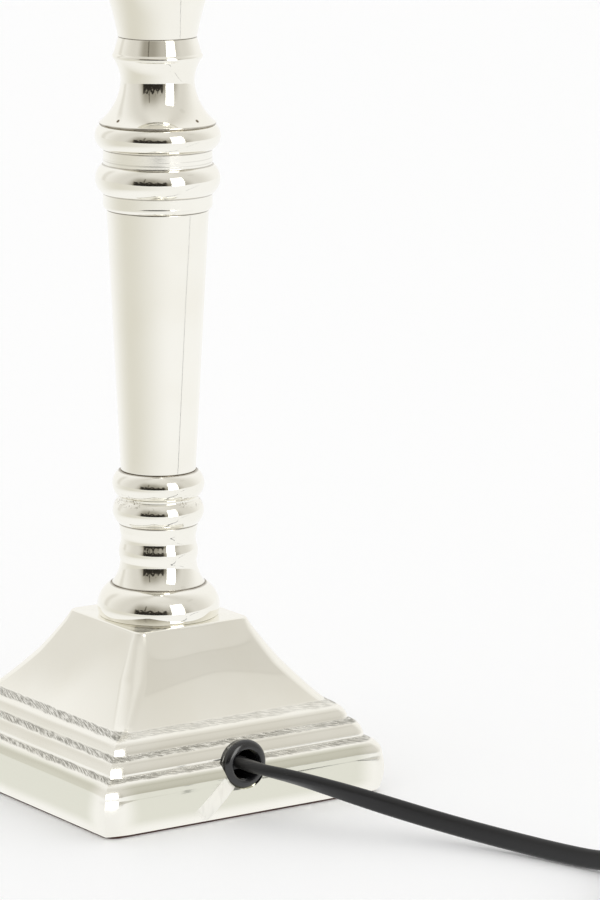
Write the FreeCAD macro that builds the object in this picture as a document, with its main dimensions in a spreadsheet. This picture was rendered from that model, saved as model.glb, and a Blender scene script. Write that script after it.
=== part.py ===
"""Candlestick table lamp: a turned, nickel-plated column on a square stepped base.

Millimetres, +Z up. The origin is the middle of the base on the surface that the lamp
stands on. The flex leaves the base at the back, +Y. Every driving size is a cell of the
sheet, and heights are added up from the deck of the base.
"""
import FreeCAD
import Part
import Sketcher
import math
import os

from FreeCAD import Placement, Rotation, Vector

os.makedirs("parts", exist_ok=True)
doc = FreeCAD.newDocument("candlestick_lamp")

SIZES = {
    # square cast base: half widths and heights of its levels; the belly and the chest
    # are what they stand out beyond the foot
    "pad_thick": 0.8, "pad_inset": 0.9,
    "plinth_foot": 49.7, "plinth_belly": 1.3, "plinth_chest": 0.5, "plinth_top": 47.9,
    "belly_up": 7.2, "chest_up": 12.0, "plinth_up": 15.7,
    "third_tread": 1.6, "third_rise": 0.8, "second_tread": 1.8, "second_rise": 1.0,
    "first_tread": 2.0, "first_rise": 1.3,
    "lower_band": 4.5, "lower_band_in": 1.8, "upper_band": 4.1, "upper_band_in": 2.6,
    "band_bulge": 0.55,
    "roof_half_low": 33.3, "roof_half_mid": 29.5, "roof_half_high": 25.9,
    "roof_half_neck": 22.7, "deck_half": 20.0,
    "roof_up_low": 4.8, "roof_up_mid": 10.3, "roof_up_high": 15.3, "roof_up_neck": 20.3,
    "roof_rise": 24.8,
    "corner_plinth": 4.0, "corner_roof": 6.5, "corner_deck": 3.0,
    "base_wall": 4.4, "roof_wall": 5.0, "deck_wall": 5.0, "cavity_corner": 3.0,
    "cavity_shoulder": 15.0,
    # ballast plate and the posts that it screws to
    "ballast_thick": 8.0, "ballast_gap": 0.5, "ballast_mouth": 16.0,
    "post_place": 29.0, "post_radius": 4.0, "post_top": 31.0,
    "ballast_screw": 2.0, "ballast_head": 3.6, "ballast_head_thick": 2.7,
    "ballast_screw_length": 12.0,
    # flex and its way in
    "flex_thick": 3.5, "flex_wide": 5.9,
    "outlet_side": 2.0, "outlet_up": 16.3, "outlet_face": 47.4,
    "outlet_hole": 5.5, "grommet_rim": 7.1, "grommet_rim_thick": 3.0,
    "grommet_bore": 4.3, "grommet_tail_rim": 6.2, "grommet_tail_thick": 1.6,
    "boss_radius": 7.4, "boss_depth": 6.5,
    "anchor_from": 24.0, "anchor_deep": 8.0, "anchor_half": 9.0, "anchor_top": 32.5,
    "clamp_thick": 2.0, "clamp_screw": 1.5, "clamp_screw_apart": 6.2,
    "clamp_head": 2.8, "clamp_head_thick": 1.9, "clamp_screw_bite": 6.0,
    "flex_bend": 19.5,
    # threaded rod, its nut and washer
    "rod_radius": 5.0, "rod_bore": 4.0, "rod_fit": 0.25, "rod_below": 2.0,
    "nut_across": 17.0, "nut_thick": 5.0, "washer_radius": 11.0, "washer_thick": 1.5,
    # column, from the deck up
    "foot_height": 9.8, "foot_radius": 18.4, "foot_swell": 18.3, "foot_swell_up": 5.0,
    "foot_crease": 14.4,
    "pedestal_height": 18.6, "skirt_radius": 14.2, "skirt_waist": 12.35,
    "skirt_waist_up": 3.5, "skirt_top": 11.7, "skirt_up": 7.6,
    "bead_radius": 12.05, "bead_height": 4.8, "waist_radius": 11.4, "waist_height": 4.0,
    "pedestal_shoulder": 11.8, "pedestal_top": 12.1,
    "knop_lower": 13.95, "knop_lower_height": 7.9, "knop_groove": 12.3,
    "knop_groove_height": 0.7, "knop_upper": 14.1, "knop_upper_height": 7.9,
    "knop_top": 11.9,
    "shaft_foot": 11.45, "shaft_head": 15.45, "shaft_height": 80.1, "shaft_wall": 3.0,
    "shaft_land": 6.0,
    "collar_radius": 16.55, "collar_round": 1.9, "collar_height": 4.9,
    "ring_root": 16.7, "ring_height": 8.9, "lower_ring": 18.9, "upper_ring": 19.0,
    "band_radius": 16.5, "band_height": 4.5, "collar_top": 17.2, "upper_ring_height": 7.5,
    "upper_ring_swell_up": 4.2,
    "bell_radius": 17.6, "bell_edge": 0.6, "bell_waist": 13.0, "bell_waist_up": 6.2,
    "neck_radius": 11.1, "neck_up": 13.2, "flare_radius": 11.6, "flare_up": 16.2,
    "ridge_root": 13.2, "ridge_up": 19.6, "ridge_radius": 13.65, "ridge_height": 1.8,
    "neck_top": 11.8, "neck_height": 26.3,
    "vase_foot": 11.9, "vase_mid": 14.4, "vase_mid_up": 10.5, "vase_chest": 18.6,
    "vase_chest_up": 21.9, "vase_belly": 21.3, "vase_belly_up": 29.5,
    "vase_shoulder": 21.9, "vase_shoulder_up": 36.0, "vase_lip": 22.9,
    "vase_lip_height": 3.0, "vase_height": 40.0, "vase_wall": 2.6, "vase_land": 6.0,
    # drip pan and the cup that hides the lampholder
    "pan_flat": 22.0, "pan_swell": 26.6, "pan_swell_up": 1.6, "pan_radius": 30.0,
    "pan_up": 5.6, "pan_rim": 0.8, "pan_wall": 1.0,
    "cup_flat": 13.0, "cup_swell": 20.2, "cup_swell_up": 4.4, "cup_radius": 22.5,
    "cup_straight_up": 13.0, "cup_height": 26.0, "cup_wall": 0.9, "cup_swell_wall": 0.7,
    # lampholder
    "cap_gap": 0.6, "cap_wall": 1.8, "cap_floor": 9.0, "cap_ledge_up": 16.0,
    "cap_ledge": 1.7, "thread_fit": 0.05,
    "insert_radius": 18.8, "insert_height": 8.0,
    "contact_well": 13.7, "well_depth": 3.4,
    "shell_bore": 13.5, "shell_wall": 0.4, "shell_height": 25.0,
    "skirt_gap": 0.3, "holder_thread": 19.9, "holder_height": 33.0,
    "flange_radius": 23.4, "flange_thick": 3.0, "holder_edge": 1.2,
    "shade_ring_radius": 28.0, "shade_ring_height": 6.0, "shade_ring_gap": 0.3,
    "shade_ring_notch": 1.1, "shade_ring_notches": 18.0, "shade_ring_web": 2.2,
    "contact_wide": 5.0, "contact_thick": 0.5, "contact_tall": 3.0,
    "terminal_screw": 2.0, "terminal_screw_tall": 3.4, "terminal_place": 10.0,
    "core_radius": 1.1, "core_apart": 1.35,
    # inline switch
    "switch_x": -54.0, "switch_y": 206.0, "switch_long": 60.0, "switch_wide": 27.0,
    "switch_lift": 0.3, "switch_split": 6.5, "switch_tall": 14.6, "switch_wall": 1.7,
    "switch_end_round": 4.0, "switch_slot": 0.3, "switch_clamp": 6.8,
    "rocker_reach": 9.3, "rocker_wide": 10.0, "rocker_gap": 0.4, "rocker_pivot_up": 12.4,
    "rocker_pin": 1.1, "rocker_pin_long": 1.5, "rocker_fit": 0.06, "rocker_hub": 2.3,
    "rocker_tilt": 8.0, "rocker_crown": 3.4, "rocker_dip": 2.3, "rocker_skirt": 1.0,
    "switch_post": 2.6, "switch_post_x": 8.6, "switch_post_y": 20.0,
    "switch_screw": 1.2, "switch_screw_head": 2.1, "switch_head_thick": 1.4,
    # coil, tie and plug
    "coil_x": -17.5, "coil_y": 272.0, "coil_radius": 37.0, "coil_pitch": 4.0,
    "coil_turns": 4.0, "coil_low": 3.9, "coil_layer": 6.5, "coil_lead": 6.0,
    "link_bend": 14.0, "link_sag": 0.6, "link_level": 8.0,
    "tie_wide": 8.0, "tie_thick": 0.6, "tie_gap": 0.25, "tie_slack": 1.0,
    "plug_x": -30.0, "plug_y": 252.0, "plug_up": 21.3, "plug_neck_long": 12.0,
    "plug_neck": 4.6, "plug_long": 37.0, "plug_wide": 35.3, "plug_thick": 13.6,
    "plug_shoulder": 15.0, "plug_back": 16.0, "plug_round": 3.0,
    "plug_pin": 2.0, "plug_pin_long": 19.0, "plug_pins_apart": 18.6,
}

sheet = doc.addObject("Spreadsheet::Sheet", "Sizes")
for row, (alias, number) in enumerate(SIZES.items(), start=1):
    sheet.set(f"A{row}", alias)
    sheet.set(f"B{row}", str(number))
    sheet.setAlias(f"B{row}", alias)
doc.recompute()


class Size:
    """A number together with the expression over the sheet that it comes from."""

    def __init__(self, value, text):
        self.value = value
        self.text = text

    def __add__(self, other):
        other = size(other)
        return Size(self.value + other.value, f"({self.text} + {other.text})")

    def __radd__(self, other):
        return size(other) + self

    def __sub__(self, other):
        other = size(other)
        return Size(self.value - other.value, f"({self.text} - {other.text})")

    def __rsub__(self, other):
        return size(other) - self

    def __mul__(self, other):
        other = size(other)
        return Size(self.value * other.value, f"({self.text} * {other.text})")

    def __rmul__(self, other):
        return size(other) * self

    def __truediv__(self, other):
        other = size(other)
        return Size(self.value / other.value, f"({self.text} / {other.text})")

    def __neg__(self):
        return Size(-self.value, f"(0 - {self.text})")


def size(value):
    """Take a plain number as a Size too."""
    if isinstance(value, Size):
        return value
    return Size(float(value), f"{value:.9g}")


class Sheet:
    """Each alias of the sheet as a Size."""

    def __getattr__(self, alias):
        return Size(float(sheet.get(alias)), f"Sizes.{alias}")


S = Sheet()
NOTHING = size(0)
SUBPARTS = []


def node(thing, name):
    """Name a finished sub-part and remember it for writing."""
    thing.Label = name
    SUBPARTS.append(thing)
    return thing


def bind(thing, prop, amount):
    """Bind a property to the sheet."""
    thing.setExpression(prop, size(amount).text)


def move(thing, x=NOTHING, y=NOTHING, z=NOTHING):
    """Place a thing at a point whose coordinates are bound to the sheet."""
    start = thing.Placement
    start.Base = Vector(size(x).value, size(y).value, size(z).value)
    thing.Placement = start
    for axis, amount in zip("xyz", (x, y, z)):
        bind(thing, f"Placement.Base.{axis}", amount)


# ---------------------------------------------------------------- drawing helpers

def new_body(name):
    """An empty body."""
    return doc.addObject("PartDesign::Body", name)


def new_sketch(body, name, plane, out=None):
    """A sketch on one of its body's origin planes, moved out along the plane's normal."""
    sketch = body.newObject("Sketcher::SketchObject", name)
    support = [f for f in body.Origin.OriginFeatures if f.Role == plane][0]
    sketch.AttachmentSupport = (support, [""])
    sketch.MapMode = "FlatFace"
    if out is not None:
        sketch.AttachmentOffset = Placement(Vector(0, 0, size(out).value), Rotation())
        bind(sketch, "AttachmentOffset.Base.z", out)
    return sketch


def fix_point(sketch, geometry, end, x, y):
    """Hold one end of a sketch element at a point given by two Sizes."""
    for kind, axis, amount in (("DistanceX", -2, x), ("DistanceY", -1, y)):
        if amount.text == "0":
            sketch.addConstraint(Sketcher.Constraint("PointOnObject", geometry, end, axis))
            continue
        index = sketch.addConstraint(
            Sketcher.Constraint(kind, -1, 1, geometry, end, amount.value)
        )
        bind(sketch, f"Constraints[{index}]", amount)


def outline(sketch, steps):
    """Draw a closed outline: (x, y) is a straight step, (via x, via y, x, y) an arc."""
    steps = [tuple(size(a) for a in step) for step in steps]
    corners = [step[-2:] for step in steps]
    for number, step in enumerate(steps):
        start, end = corners[number - 1], corners[number]
        a, b = (Vector(p[0].value, p[1].value, 0) for p in (start, end))
        first, last = 1, 2
        if len(step) == 4:
            via = Vector(step[0].value, step[1].value, 0)
            if (via - a).cross(b - via).z < 0:
                first, last = 2, 1
                arc = sketch.addGeometry(Part.Arc(b, via, a), False)
            else:
                arc = sketch.addGeometry(Part.Arc(a, via, b), False)
            mark = sketch.addGeometry(Part.Point(via), True)
            fix_point(sketch, mark, 1, step[0], step[1])
            fix_point(sketch, arc, first, *start)
            fix_point(sketch, arc, last, *end)
            sketch.addConstraint(Sketcher.Constraint("PointOnObject", mark, 1, arc))
        else:
            line = sketch.addGeometry(Part.LineSegment(a, b), False)
            fix_point(sketch, line, first, *start)
            fix_point(sketch, line, last, *end)


def turned(name, steps):
    """A piece turned about Z from its outline in radius and height."""
    body = new_body(name)
    sketch = new_sketch(body, f"{name}_profile", "XZ_Plane")
    outline(sketch, steps)
    turn = body.newObject("PartDesign::Revolution", f"{name}_turn")
    turn.Profile = sketch
    turn.ReferenceAxis = (sketch, ["V_Axis"])
    turn.Angle = 360
    return body


def rounded_steps(half_x, half_y, corner, x=NOTHING, y=NOTHING):
    """The outline of a rectangle with rounded corners about a middle."""
    cut = corner * (1 - math.sqrt(0.5))
    left, right, low, high = x - half_x, x + half_x, y - half_y, y + half_y
    return [
        (right - corner, low),
        (right - cut, low + cut, right, low + corner),
        (right, high - corner),
        (right - cut, high - cut, right - corner, high),
        (left + corner, high),
        (left + cut, high - cut, left, high - corner),
        (left, low + corner),
        (left + cut, low + cut, left + corner, low),
    ]


def square(body, name, half, corner, height):
    """A rounded square sketch at a height."""
    sketch = new_sketch(body, name, "XY_Plane", height)
    outline(sketch, rounded_steps(half, half, corner))
    return sketch


def loft(body, name, sections, kind="Additive", ruled=False):
    """A loft through sketches of a body."""
    made = body.newObject(f"PartDesign::{kind}Loft", name)
    made.Profile = sections[0]
    made.Sections = list(sections[1:])
    made.Ruled = ruled
    return made


def slab(name, steps, low, thick, plane="XY_Plane"):
    """A flat piece padded from an outline at a height."""
    body = new_body(name)
    sketch = new_sketch(body, f"{name}_outline", plane, low)
    outline(sketch, steps)
    pad = body.newObject("PartDesign::Pad", f"{name}_pad")
    pad.Profile = sketch
    bind(pad, "Length", thick)
    return body


def box(name, x, y, z, long, deep, tall):
    """A box from its low corner and its sides."""
    made = doc.addObject("Part::Box", name)
    bind(made, "Length", long)
    bind(made, "Width", deep)
    bind(made, "Height", tall)
    move(made, x, y, z)
    return made


def rod(name, radius, length, x=NOTHING, y=NOTHING, z=NOTHING, turn=None):
    """A cylinder from the middle of its first face, along Z unless it is turned."""
    made = doc.addObject("Part::Cylinder", name)
    bind(made, "Radius", radius)
    bind(made, "Height", length)
    if turn is not None:
        made.Placement = Placement(Vector(), turn)
    move(made, x, y, z)
    return made


ALONG_Y = Rotation(Vector(1, 0, 0), -90)
ALONG_X = Rotation(Vector(0, 1, 0), 90)


def joined(name, things):
    """Several things fused."""
    made = doc.addObject("Part::MultiFuse", name)
    made.Shapes = things
    return made


def cut(name, base, tools):
    """A thing with others cut out of it."""
    made = doc.addObject("Part::Cut", name)
    made.Base = base
    made.Tool = tools[0] if len(tools) == 1 else joined(f"{name}_tools", tools)
    return made


def grouped(name, things):
    """Separate solids kept in one node."""
    made = doc.addObject("Part::Compound", name)
    made.Links = things
    return made


def solid(name, shape):
    """A sub-part whose shape is worked out here from the sheet."""
    made = doc.addObject("Part::Feature", name)
    made.Shape = shape
    return made


# ---------------------------------------------------------------- square base

pad_top = S.pad_thick
pad_half = S.plinth_foot - S.pad_inset
felt_pad = slab("felt_pad", rounded_steps(pad_half, pad_half, S.corner_plinth), NOTHING,
                S.pad_thick)
node(felt_pad, "felt_pad")

level = {"foot": pad_top}
level["belly"] = pad_top + S.belly_up
level["chest"] = pad_top + S.chest_up
level["plinth"] = pad_top + S.plinth_up
level["lower_band"] = level["plinth"] + S.third_rise
level["lower_band_mid"] = level["lower_band"] + S.lower_band / 2
level["second"] = level["lower_band"] + S.lower_band
level["upper_band"] = level["second"] + S.second_rise
level["upper_band_mid"] = level["upper_band"] + S.upper_band / 2
level["first"] = level["upper_band"] + S.upper_band
level["roof"] = level["first"] + S.first_rise
deck_top = level["roof"] + S.roof_rise

band_low = S.plinth_top - S.third_tread
band_low_top = band_low - S.lower_band_in
band_high = band_low_top - S.second_tread
band_high_top = band_high - S.upper_band_in
roof_foot = band_high_top - S.first_tread

shell = new_body("base_shell")


def level_square(name, half, corner, height):
    """One level of the casting."""
    return square(shell, f"level_{name}", half, corner, height)


plinth = [
    level_square("foot", S.plinth_foot, S.corner_plinth, level["foot"]),
    level_square("belly", S.plinth_foot + S.plinth_belly, S.corner_plinth, level["belly"]),
    level_square("chest", S.plinth_foot + S.plinth_chest, S.corner_plinth, level["chest"]),
    level_square("plinth", S.plinth_top, S.corner_plinth, level["plinth"]),
]
lower_band = [
    level_square("lower_band", band_low, S.corner_plinth, level["lower_band"]),
    level_square("lower_band_mid", (band_low + band_low_top) / 2 + S.band_bulge,
                 S.corner_plinth, level["lower_band_mid"]),
    level_square("second", band_low_top, S.corner_plinth, level["second"]),
]
upper_band = [
    level_square("upper_band", band_high, S.corner_plinth, level["upper_band"]),
    level_square("upper_band_mid", (band_high + band_high_top) / 2 + S.band_bulge,
                 S.corner_plinth, level["upper_band_mid"]),
    level_square("first", band_high_top, S.corner_plinth, level["first"]),
]
roof = [
    level_square("roof", roof_foot, S.corner_plinth, level["roof"]),
    level_square("roof_low", S.roof_half_low, S.corner_roof, level["roof"] + S.roof_up_low),
    level_square("roof_mid", S.roof_half_mid, S.corner_roof, level["roof"] + S.roof_up_mid),
    level_square("roof_high", S.roof_half_high, S.corner_roof,
                 level["roof"] + S.roof_up_high),
    level_square("roof_neck", S.roof_half_neck, S.corner_roof,
                 level["roof"] + S.roof_up_neck),
    level_square("deck", S.deck_half, S.corner_deck, deck_top),
]
loft(shell, "plinth_loft", plinth)
loft(shell, "third_tread_loft", [plinth[-1], lower_band[0]], ruled=True)
loft(shell, "lower_band_loft", lower_band)
loft(shell, "second_tread_loft", [lower_band[-1], upper_band[0]], ruled=True)
loft(shell, "upper_band_loft", upper_band)
loft(shell, "first_tread_loft", [upper_band[-1], roof[0]], ruled=True)
loft(shell, "roof_loft", roof)

ballast_top = pad_top + S.ballast_thick
cavity_half = S.plinth_foot - S.base_wall
ceiling = deck_top - S.deck_wall
cavity = [
    square(shell, "cavity_mouth", cavity_half, S.cavity_corner, pad_top),
    square(shell, "cavity_sill", cavity_half, S.cavity_corner, ballast_top),
    square(shell, "cavity_shoulder", S.plinth_top - S.base_wall, S.cavity_corner,
           S.cavity_shoulder),
    square(shell, "cavity_roof", roof_foot - S.roof_wall, S.corner_roof, level["roof"]),
    square(shell, "cavity_ceiling", S.deck_half - S.cavity_corner, S.corner_deck, ceiling),
]
loft(shell, "cavity_loft", cavity, "Subtractive", ruled=True)

posts = []
post_holes = []
ballast_tools = [rod("ballast_mouth", S.ballast_mouth, S.ballast_thick, z=pad_top)]
ballast_bolts = []
head_seat = pad_top + S.ballast_head_thick + S.pad_inset / 2
for number, (sx, sy) in enumerate(((1, 1), (-1, 1), (-1, -1), (1, -1)), start=1):
    at = {"x": S.post_place * sx, "y": S.post_place * sy}
    bite = S.ballast_screw_length
    posts.append(rod(f"post_{number}", S.post_radius, S.post_top - ballast_top,
                     z=ballast_top, **at))
    post_holes.append(rod(f"post_hole_{number}", S.ballast_screw + S.thread_fit, bite,
                          z=ballast_top, **at))
    ballast_tools.append(rod(f"ballast_hole_{number}", S.ballast_screw + S.rod_fit,
                             S.ballast_thick, z=pad_top, **at))
    ballast_tools.append(rod(f"ballast_seat_{number}", S.ballast_head + S.rod_fit,
                             head_seat - pad_top, z=pad_top, **at))
    head = rod(f"ballast_head_{number}", S.ballast_head, S.ballast_head_thick,
               z=head_seat - S.ballast_head_thick, **at)
    shank = rod(f"ballast_shank_{number}", S.ballast_screw,
                ballast_top - head_seat + bite - S.clamp_thick, z=head_seat, **at)
    ballast_bolts.append(joined(f"ballast_screw_{number}", [head, shank]))

outlet = {"x": S.outlet_side, "z": S.outlet_up}
flex_top = S.outlet_up + S.flex_thick / 2
flex_low = S.outlet_up - S.flex_thick / 2
boss_face = S.outlet_face - S.boss_depth
boss = rod("outlet_boss", S.boss_radius, S.boss_depth - S.base_wall / 2, y=boss_face,
           turn=ALONG_Y, **outlet)
anchor = box("anchor_block", S.outlet_side - S.anchor_half, S.anchor_from, flex_top,
             S.anchor_half * 2, S.anchor_deep, S.anchor_top - flex_top)
anchor_mid = S.anchor_from + S.anchor_deep / 2
anchor_holes = []
clamp_holes = []
clamp_bolts = []
clamp_low = flex_low - S.clamp_thick
for number, side in enumerate((-1, 1), start=1):
    at = {"x": S.outlet_side + S.clamp_screw_apart * side, "y": anchor_mid}
    anchor_holes.append(rod(f"anchor_hole_{number}", S.clamp_screw + S.thread_fit,
                            S.clamp_screw_bite + S.clamp_thick, z=flex_top, **at))
    clamp_holes.append(rod(f"clamp_hole_{number}", S.clamp_screw + S.rod_fit,
                           S.clamp_thick, z=clamp_low, **at))
    head = rod(f"clamp_head_{number}", S.clamp_head, S.clamp_head_thick,
               z=clamp_low - S.clamp_head_thick, **at)
    shank = rod(f"clamp_shank_{number}", S.clamp_screw,
                flex_top - clamp_low + S.clamp_screw_bite, z=clamp_low, **at)
    clamp_bolts.append(joined(f"clamp_screw_{number}", [head, shank]))

spot_face = rod("outlet_spot_face", S.grommet_rim + S.skirt_gap, S.boss_depth,
                y=S.outlet_face, turn=ALONG_Y, **outlet)
inner_face = rod("inner_spot_face", S.grommet_tail_rim + S.skirt_gap, S.boss_depth,
                 y=boss_face - S.boss_depth, turn=ALONG_Y, **outlet)
outlet_hole = rod("outlet_hole", S.outlet_hole, S.boss_depth * 2,
                  y=boss_face - S.boss_depth / 2, turn=ALONG_Y, **outlet)
deck_hole = rod("deck_hole", S.rod_radius + S.rod_fit, S.deck_wall, z=ceiling)
filled = joined("base_filled", [shell, boss, anchor] + posts)
base_casting = cut("base_casting", filled,
                   [spot_face, inner_face, outlet_hole, deck_hole] + post_holes + anchor_holes)
node(base_casting, "base_casting")

ballast_half = cavity_half - S.ballast_gap
ballast_blank = slab("ballast_blank",
                     rounded_steps(ballast_half, ballast_half, S.cavity_corner),
                     pad_top, S.ballast_thick)
node(cut("ballast_plate", ballast_blank, ballast_tools), "ballast_plate")
node(grouped("ballast_screws", ballast_bolts), "ballast_screws")

clamp_blank = box("clamp_blank", S.outlet_side - S.anchor_half, S.anchor_from, clamp_low,
                  S.anchor_half * 2, S.anchor_deep, S.clamp_thick)
node(cut("cord_clamp", clamp_blank, clamp_holes), "cord_clamp")
node(grouped("clamp_screws", clamp_bolts), "clamp_screws")

# rubber grommet: a ring with a groove that grips the wall, turned about Y
grommet = new_body("cord_grommet")
grommet_profile = new_sketch(grommet, "grommet_profile", "XY_Plane")
rim_out = S.outlet_face + S.grommet_rim_thick
tail_out = boss_face - S.grommet_tail_thick
rim_mid = (S.grommet_rim + S.grommet_bore) / 2
outline(grommet_profile, [
    (S.grommet_bore, tail_out),
    (S.grommet_tail_rim, tail_out),
    (S.grommet_tail_rim, boss_face),
    (S.outlet_hole - S.thread_fit, boss_face),
    (S.outlet_hole - S.thread_fit, S.outlet_face),
    (S.grommet_rim, S.outlet_face),
    (rim_mid, rim_out, S.grommet_bore, S.outlet_face),
])
grommet_turn = grommet.newObject("PartDesign::Revolution", "grommet_turn")
grommet_turn.Profile = grommet_profile
grommet_turn.ReferenceAxis = (grommet_profile, ["V_Axis"])
grommet_turn.Angle = 360
move(grommet, S.outlet_side, NOTHING, S.outlet_up)
node(grommet, "cord_grommet")

# ---------------------------------------------------------------- rod, nut and washer

vase_foot_up = (deck_top + S.foot_height + S.pedestal_height + S.knop_lower_height
                + S.knop_groove_height + S.knop_upper_height + S.shaft_height
                + S.collar_height + S.ring_height + S.band_height + S.upper_ring_height
                + S.neck_height)
pan_foot = vase_foot_up + S.vase_height
cup_foot = pan_foot + S.pan_wall
cap_foot = cup_foot + S.cup_wall
rod_top = cap_foot + S.cap_floor
washer_foot = ceiling - S.washer_thick
nut_foot = washer_foot - S.nut_thick
rod_foot = nut_foot - S.rod_below
bore = S.rod_radius + S.rod_fit
rod_long = rod_top - rod_foot
node(cut("threaded_rod", rod("rod_outside", S.rod_radius, rod_long, z=rod_foot),
         [rod("rod_inside", S.rod_bore, rod_long, z=rod_foot)]), "threaded_rod")
node(cut("rod_washer", rod("washer_disc", S.washer_radius, S.washer_thick, z=washer_foot),
         [rod("washer_bore", bore, S.washer_thick, z=washer_foot)]), "rod_washer")
nut_blank = doc.addObject("Part::Prism", "nut_blank")
nut_blank.Polygon = 6
bind(nut_blank, "Circumradius", S.nut_across / math.sqrt(3))
bind(nut_blank, "Height", S.nut_thick)
move(nut_blank, z=nut_foot)
node(cut("rod_nut", nut_blank,
         [rod("nut_bore", S.rod_radius + S.thread_fit, S.nut_thick, z=nut_foot)]),
     "rod_nut")

# ---------------------------------------------------------------- turned column

foot_up = deck_top
foot_end = foot_up + S.foot_height
node(turned("foot_ring", [
    (bore, foot_up),
    (S.foot_radius, foot_up),
    (S.foot_swell, foot_up + S.foot_swell_up, S.foot_crease, foot_end),
    (bore, foot_end),
]), "foot_ring")

skirt_end = foot_end + S.skirt_up
bead_end = skirt_end + S.bead_height
waist_end = bead_end + S.waist_height
pedestal_end = foot_end + S.pedestal_height
node(turned("pedestal", [
    (bore, foot_end),
    (S.skirt_radius, foot_end),
    (S.skirt_waist, foot_end + S.skirt_waist_up, S.skirt_top, skirt_end),
    (S.bead_radius, skirt_end + S.bead_height / 2, S.skirt_top, bead_end),
    (S.waist_radius, bead_end + S.waist_height / 2, S.pedestal_shoulder, waist_end),
    (S.pedestal_top, pedestal_end),
    (bore, pedestal_end),
]), "pedestal")

groove_foot = pedestal_end + S.knop_lower_height
groove_end = groove_foot + S.knop_groove_height
knop_end = groove_end + S.knop_upper_height
node(turned("lower_knop", [
    (bore, pedestal_end),
    (S.pedestal_top, pedestal_end),
    (S.knop_lower, pedestal_end + S.knop_lower_height / 2, S.knop_groove, groove_foot),
    (S.knop_groove, groove_end),
    (S.knop_upper, groove_end + S.knop_upper_height / 2, S.knop_top, knop_end),
    (bore, knop_end),
]), "lower_knop")

shaft_end = knop_end + S.shaft_height
node(turned("column_shaft", [
    (bore, knop_end),
    (S.shaft_foot, knop_end),
    (S.shaft_head, shaft_end),
    (bore, shaft_end),
    (bore, shaft_end - S.shaft_land),
    (S.shaft_head - S.shaft_wall, shaft_end - S.shaft_land),
    (S.shaft_foot - S.shaft_wall, knop_end + S.shaft_land),
    (bore, knop_end + S.shaft_land),
]), "column_shaft")

collar_end = shaft_end + S.collar_height
ring_end = collar_end + S.ring_height
band_end = ring_end + S.band_height
upper_end = band_end + S.upper_ring_height
round_in = S.collar_round * (1 - math.sqrt(0.5))
node(turned("upper_collar", [
    (bore, shaft_end),
    (S.collar_radius - S.collar_round / 2, shaft_end),
    (S.collar_radius - round_in / 2, shaft_end + round_in,
     S.collar_radius, shaft_end + S.collar_round),
    (S.collar_radius, collar_end),
    (S.ring_root, collar_end),
    (S.lower_ring, collar_end + S.ring_height / 2, S.ring_root, ring_end),
    (S.band_radius, ring_end),
    (S.band_radius, band_end),
    (S.ring_root, band_end),
    (S.upper_ring, band_end + S.upper_ring_swell_up, S.collar_top, upper_end),
    (bore, upper_end),
]), "upper_collar")

neck_end = upper_end + S.neck_height
ridge_foot = upper_end + S.ridge_up
node(turned("neck_cove", [
    (bore, upper_end),
    (S.bell_radius, upper_end),
    (S.bell_radius, upper_end + S.bell_edge),
    (S.bell_waist, upper_end + S.bell_waist_up, S.neck_radius, upper_end + S.neck_up),
    (S.flare_radius, upper_end + S.flare_up, S.ridge_root, ridge_foot),
    (S.ridge_radius, ridge_foot + S.ridge_height / 2,
     S.ridge_root, ridge_foot + S.ridge_height),
    (S.neck_top, neck_end),
    (bore, neck_end),
]), "neck_cove")

vase_end = neck_end + S.vase_height
vase_land_end = neck_end + S.vase_land
node(turned("candle_vase", [
    (bore, neck_end),
    (S.vase_foot, neck_end),
    (S.vase_mid, neck_end + S.vase_mid_up, S.vase_chest, neck_end + S.vase_chest_up),
    (S.vase_belly, neck_end + S.vase_belly_up,
     S.vase_shoulder, neck_end + S.vase_shoulder_up),
    (S.vase_lip, vase_end - S.vase_lip_height),
    (S.vase_lip, vase_end),
    (bore, vase_end),
    (bore, vase_end - S.vase_lip_height),
    (S.vase_shoulder - S.vase_wall, vase_end - S.vase_lip_height),
    (S.vase_belly - S.vase_wall, neck_end + S.vase_belly_up,
     S.vase_chest - S.vase_wall, neck_end + S.vase_chest_up),
    (S.vase_foot - S.vase_wall, vase_land_end),
    (bore, vase_land_end),
]), "candle_vase")

node(turned("drip_pan", [
    (bore, pan_foot),
    (S.pan_flat, pan_foot),
    (S.pan_swell, pan_foot + S.pan_swell_up, S.pan_radius, pan_foot + S.pan_up),
    (S.pan_radius + S.pan_rim, pan_foot + S.pan_up + S.pan_rim),
    (S.pan_radius, pan_foot + S.pan_up + S.pan_rim * 2),
    (S.pan_radius - S.pan_wall, pan_foot + S.pan_up + S.pan_rim),
    (S.pan_swell - S.pan_wall / 2, pan_foot + S.pan_swell_up + S.pan_wall,
     S.pan_flat, cup_foot),
    (bore, cup_foot),
]), "drip_pan")

cup_end = cup_foot + S.cup_height
node(turned("holder_cup", [
    (bore, cup_foot),
    (S.cup_flat, cup_foot),
    (S.cup_swell, cup_foot + S.cup_swell_up, S.cup_radius, cup_foot + S.cup_straight_up),
    (S.cup_radius, cup_end),
    (S.cup_radius - S.cup_wall, cup_end),
    (S.cup_radius - S.cup_wall, cup_foot + S.cup_straight_up),
    (S.cup_swell - S.cup_swell_wall, cup_foot + S.cup_swell_up + S.cup_swell_wall,
     S.cup_flat, cap_foot),
    (bore, cap_foot),
]), "holder_cup")

# ---------------------------------------------------------------- lampholder

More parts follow.
